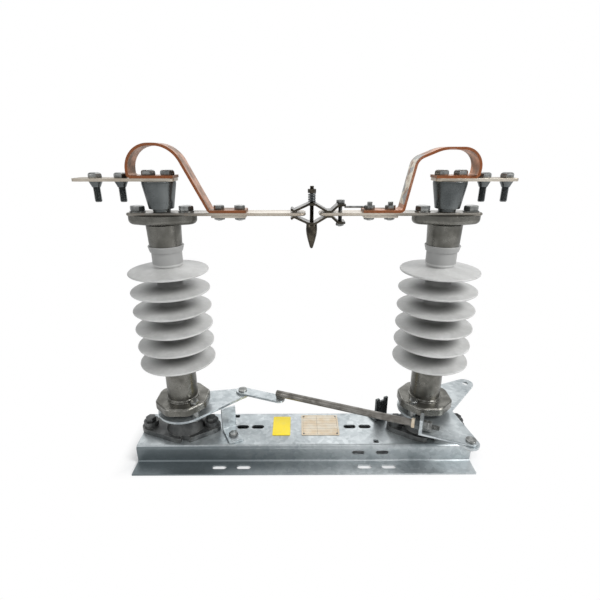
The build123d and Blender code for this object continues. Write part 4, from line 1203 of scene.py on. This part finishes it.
@dataclass
class LinkEnd:
    """Adjustable end of the link: collar, threaded rod and two nuts, lying along the link."""

    workshop: Workshop
    lever: float = 102.0 * MM
    lean: float = math.radians(25.5)
    lug_distance: float = 74.0 * MM
    lug: float = 5.0 * MM
    collar: float = 9.0 * MM
    collar_length: float = 12.0 * MM
    brass: float = 5.0 * MM
    thread: float = 4.0 * MM
    thread_length: float = 24.0 * MM
    soft: float = 0.6 * MM
    sleeve_inset: float = 1.6 * MM
    nut: HexFastener = HexFastener(14 * MM, 6.5 * MM, 6.5 * MM, 4 * MM, pitch=1.25 * MM)

    def place(self) -> Matrix:
        """Matrix from a link drawn upwards from its right pivot to its true place."""
        left = Vector((-POST, 0, 0)) + self.lever * Vector(
            (math.cos(self.lean), math.sin(self.lean), 0)
        )
        lean = self.lean - math.pi / 2
        right = Vector((POST, 0, 0)) + self.lever * Vector((math.cos(lean), math.sin(lean), 0))
        low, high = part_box("link_threaded_end")
        right.z = (low.z + high.z) / 2
        along = right - left
        along.z = 0
        turn = Vector((0, 0, 1)).rotation_difference(along.normalized())
        return Matrix.Translation(right) @ turn.to_matrix().to_4x4()

    def finish(self, bm: bmesh.types.BMesh, name: str, slot: Slot) -> None:
        """Carry one mesh to the link and fit it."""
        face_outwards(bm)
        bm.transform(self.place())
        piece = self.workshop.solid(name, bm, 28.0)
        node = "link_threaded_end"
        self.workshop.fit(piece, slot, self.workshop.body_of(node), [node])

    def build(self) -> None:
        """Make the dark collar, its brass sleeve and the bright thread with its nuts."""
        face = -self.lug_distance
        start = face - self.collar_length
        origin = Vector()
        dark = bmesh.new()
        outline = drum_outline(self.collar, start + self.brass, face, self.soft)
        lathe(dark, outline, origin, 36)
        self.finish(dark, "link_collar", Slot.DARK_STEEL)
        sleeve = bmesh.new()
        radius = self.collar - self.sleeve_inset
        outline = [
            (0, start), (radius - self.soft, start), (radius, start + self.soft),
            (radius, start + self.brass), (0, start + self.brass),
        ]
        lathe(sleeve, outline, origin, 36)
        self.finish(sleeve, "link_sleeve", Slot.BRASS)
        bright = bmesh.new()
        nut_face = face + self.lug
        self.nut.screw(bright, origin, face, nut_face + self.thread_length)
        for step in range(2):
            self.nut.prism(
                bright, origin, nut_face + step * self.nut.nut, 0.97 * self.nut.nut, 0.08
            )
        self.finish(bright, "link_thread", Slot.ZINC)


@dataclass
class Plates:
    """Bare ruled plate with four rivets and a plain yellow label."""

    workshop: Workshop
    rivet: float = 1.7 * MM
    rivet_inset: float = 4.0 * MM

    RIVET = ((0.0, -0.3 * MM), (1.0, -0.3 * MM), (1.0, 0.2 * MM), (0.7, 0.8 * MM), (0.0, 1.0 * MM))

    def build(self) -> None:
        """Make both plates and the rivets."""
        for node in ("name_plate", "label_plate"):
            self.workshop.soften(node, 0.15 * MM)
        low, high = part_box("name_plate")
        bm = bmesh.new()
        dome = [(share * self.rivet, high.z + rise) for share, rise in self.RIVET]
        for x in (low.x + self.rivet_inset, high.x - self.rivet_inset):
            for y in (low.y + self.rivet_inset, high.y - self.rivet_inset):
                lathe(bm, dome, Vector((x, y, 0)), 16)
        face_outwards(bm)
        piece = self.workshop.solid("name_plate_rivets", bm, 50.0)
        self.workshop.fit(piece, Slot.ZINC, self.workshop.body_of("name_plate"))


@dataclass
class Castings:
    """Every other node, kept in its CAD shape with finished edges."""

    workshop: Workshop

    ROUNDINGS = {
        Slot.GALVANISED: 0.45 * MM,
        Slot.DARK_CASTING: 0.9 * MM,
        Slot.GREY_CASTING: 0.8 * MM,
        Slot.TINNED: 0.4 * MM,
        Slot.BRONZE: 0.3 * MM,
        Slot.ZINC: 0.3 * MM,
        Slot.DARK_STEEL: 0.5 * MM,
        Slot.LINK_STEEL: 0.4 * MM,
    }

    def build(self) -> None:
        """Soften each node that no piece stands for yet."""
        for node in sorted(self.workshop.waiting):
            self.workshop.soften(node, self.ROUNDINGS[self.workshop.slots[node]])


@dataclass
class Studio:
    """Pale floor, soft lamps and the camera."""

    focal_pixels: float = 407.87
    frame_pixels: float = 600.0
    sensor: float = 36.0
    eye: tuple[float, float, float] = (-9.54 * MM, -580.91 * MM, 480.82 * MM)
    pitch: float = 0.3534
    yaw: float = 0.0052
    sky_light: float = 0.60
    floor_shade: float = 0.86
    floor_size: float = 14.0
    shade_reach: tuple[float, float] = (0.27, 0.045)
    shade_fade: float = 0.04
    floor_drop: float = 0.0002

    AIM = (0, 0, 0.25)
    LAMPS = (
        ("key", (1.2, -0.7, 1.3), 0.8, 22),
        ("fill", (-1.2, -0.9, 1.1), 0.8, 5),
        ("rim", (0.0, 1.4, 1.3), 2.0, 12),
    )

    def camera(self) -> None:
        """Camera with the photograph's angle and lens."""
        data = bpy.data.cameras.new("camera")
        data.sensor_width = self.sensor
        data.lens = self.focal_pixels / self.frame_pixels * self.sensor
        data.clip_start = 0.01
        camera = bpy.data.objects.new("camera", data)
        camera.location = self.eye
        camera.rotation_euler = (math.pi / 2 - self.pitch, 0, -self.yaw)
        bpy.context.scene.collection.objects.link(camera)
        bpy.context.scene.camera = camera

    def sky(self) -> None:
        """World that is white to the eye and to transmission, and a soft light to the rest."""
        world = bpy.data.worlds.new("studio")
        bpy.context.scene.world = world
        world.use_nodes = True
        tree = world.node_tree
        tree.nodes.clear()
        ray = tree.nodes.new("ShaderNodeLightPath")
        seen = tree.nodes.new("ShaderNodeMath")
        seen.operation = "MAXIMUM"
        tree.links.new(ray.outputs["Is Camera Ray"], seen.inputs[0])
        tree.links.new(ray.outputs["Is Transmission Ray"], seen.inputs[1])
        lights = []
        for colour, strength in ((rgba(0.97, 0.985, 1.0), self.sky_light), (rgba(1, 1, 1), 1.0)):
            light = tree.nodes.new("ShaderNodeBackground")
            light.inputs["Color"].default_value = colour
            light.inputs["Strength"].default_value = strength
            lights.append(light)
        mix = tree.nodes.new("ShaderNodeMixShader")
        output = tree.nodes.new("ShaderNodeOutputWorld")
        tree.links.new(seen.outputs[0], mix.inputs[0])
        for place, light in enumerate(lights, 1):
            tree.links.new(light.outputs[0], mix.inputs[place])
        tree.links.new(mix.outputs[0], output.inputs[0])

    def floor(self) -> None:
        """Pale floor that keeps the shadow near the switch and fades to white far away."""
        bm = bmesh.new()
        bmesh.ops.create_grid(bm, x_segments=1, y_segments=1, size=self.floor_size)
        mesh = bpy.data.meshes.new("floor")
        bm.to_mesh(mesh)
        bm.free()
        piece = bpy.data.objects.new("floor", mesh)
        bpy.context.scene.collection.objects.link(piece)
        piece.location.z = -self.floor_drop
        shader = Shader("pale_floor")
        across, back, _ = shader.axes()
        outside = (abs(across) - self.shade_reach[0]).larger(abs(back) - self.shade_reach[1])
        far = shader.spread(outside, 0.0, self.shade_fade)
        shader.dress(Base_Color=rgba(*[self.floor_shade] * 3), Roughness=0.7)
        glow = shader.node("ShaderNodeEmission", {}, {"Color": rgba(1, 1, 1), "Strength": 1.0})
        ray = shader.node("ShaderNodeLightPath")
        seen = Signal(shader, ray.outputs["Is Camera Ray"])
        mix = shader.node(
            "ShaderNodeMixShader",
            {},
            {0: seen * far, 1: shader.surface.outputs[0], 2: glow.outputs[0]},
        )
        output = next(n for n in shader.tree.nodes if n.type == "OUTPUT_MATERIAL")
        shader.tree.links.new(mix.outputs[0], output.inputs[0])
        mesh.materials.append(shader.material)

    def lamp(self, name: str, place: Sequence[float], size: float, watts: float) -> None:
        """Square soft lamp that looks at the middle of the switch."""
        data = bpy.data.lights.new(name, "AREA")
        data.size = size
        data.energy = watts
        lamp = bpy.data.objects.new(name, data)
        lamp.location = place
        look = Vector(self.AIM) - Vector(place)
        lamp.rotation_euler = look.to_track_quat("-Z", "Y").to_euler()
        bpy.context.scene.collection.objects.link(lamp)

    def build(self) -> None:
        """Set the whole studio."""
        self.camera()
        self.sky()
        self.floor()
        for lamp in self.LAMPS:
            self.lamp(*lamp)
        bpy.context.scene.view_settings.view_transform = "Standard"


def main() -> None:
    """Build the switch's looks in order."""
    logging.basicConfig(level=logging.INFO, format="%(name)s: %(message)s")
    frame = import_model()
    Studio().build()
    workshop = Workshop(frame)
    for side in Side:
        Insulator(workshop, side).build()
        CopperStrap(workshop, side).build()
    Fasteners(workshop).build()
    contact = Contact(workshop)
    contact.spring()
    contact.bolt()
    LinkEnd(workshop).build()
    Plates(workshop).build()
    Castings(workshop).build()


if __name__ == "__main__":
    main()
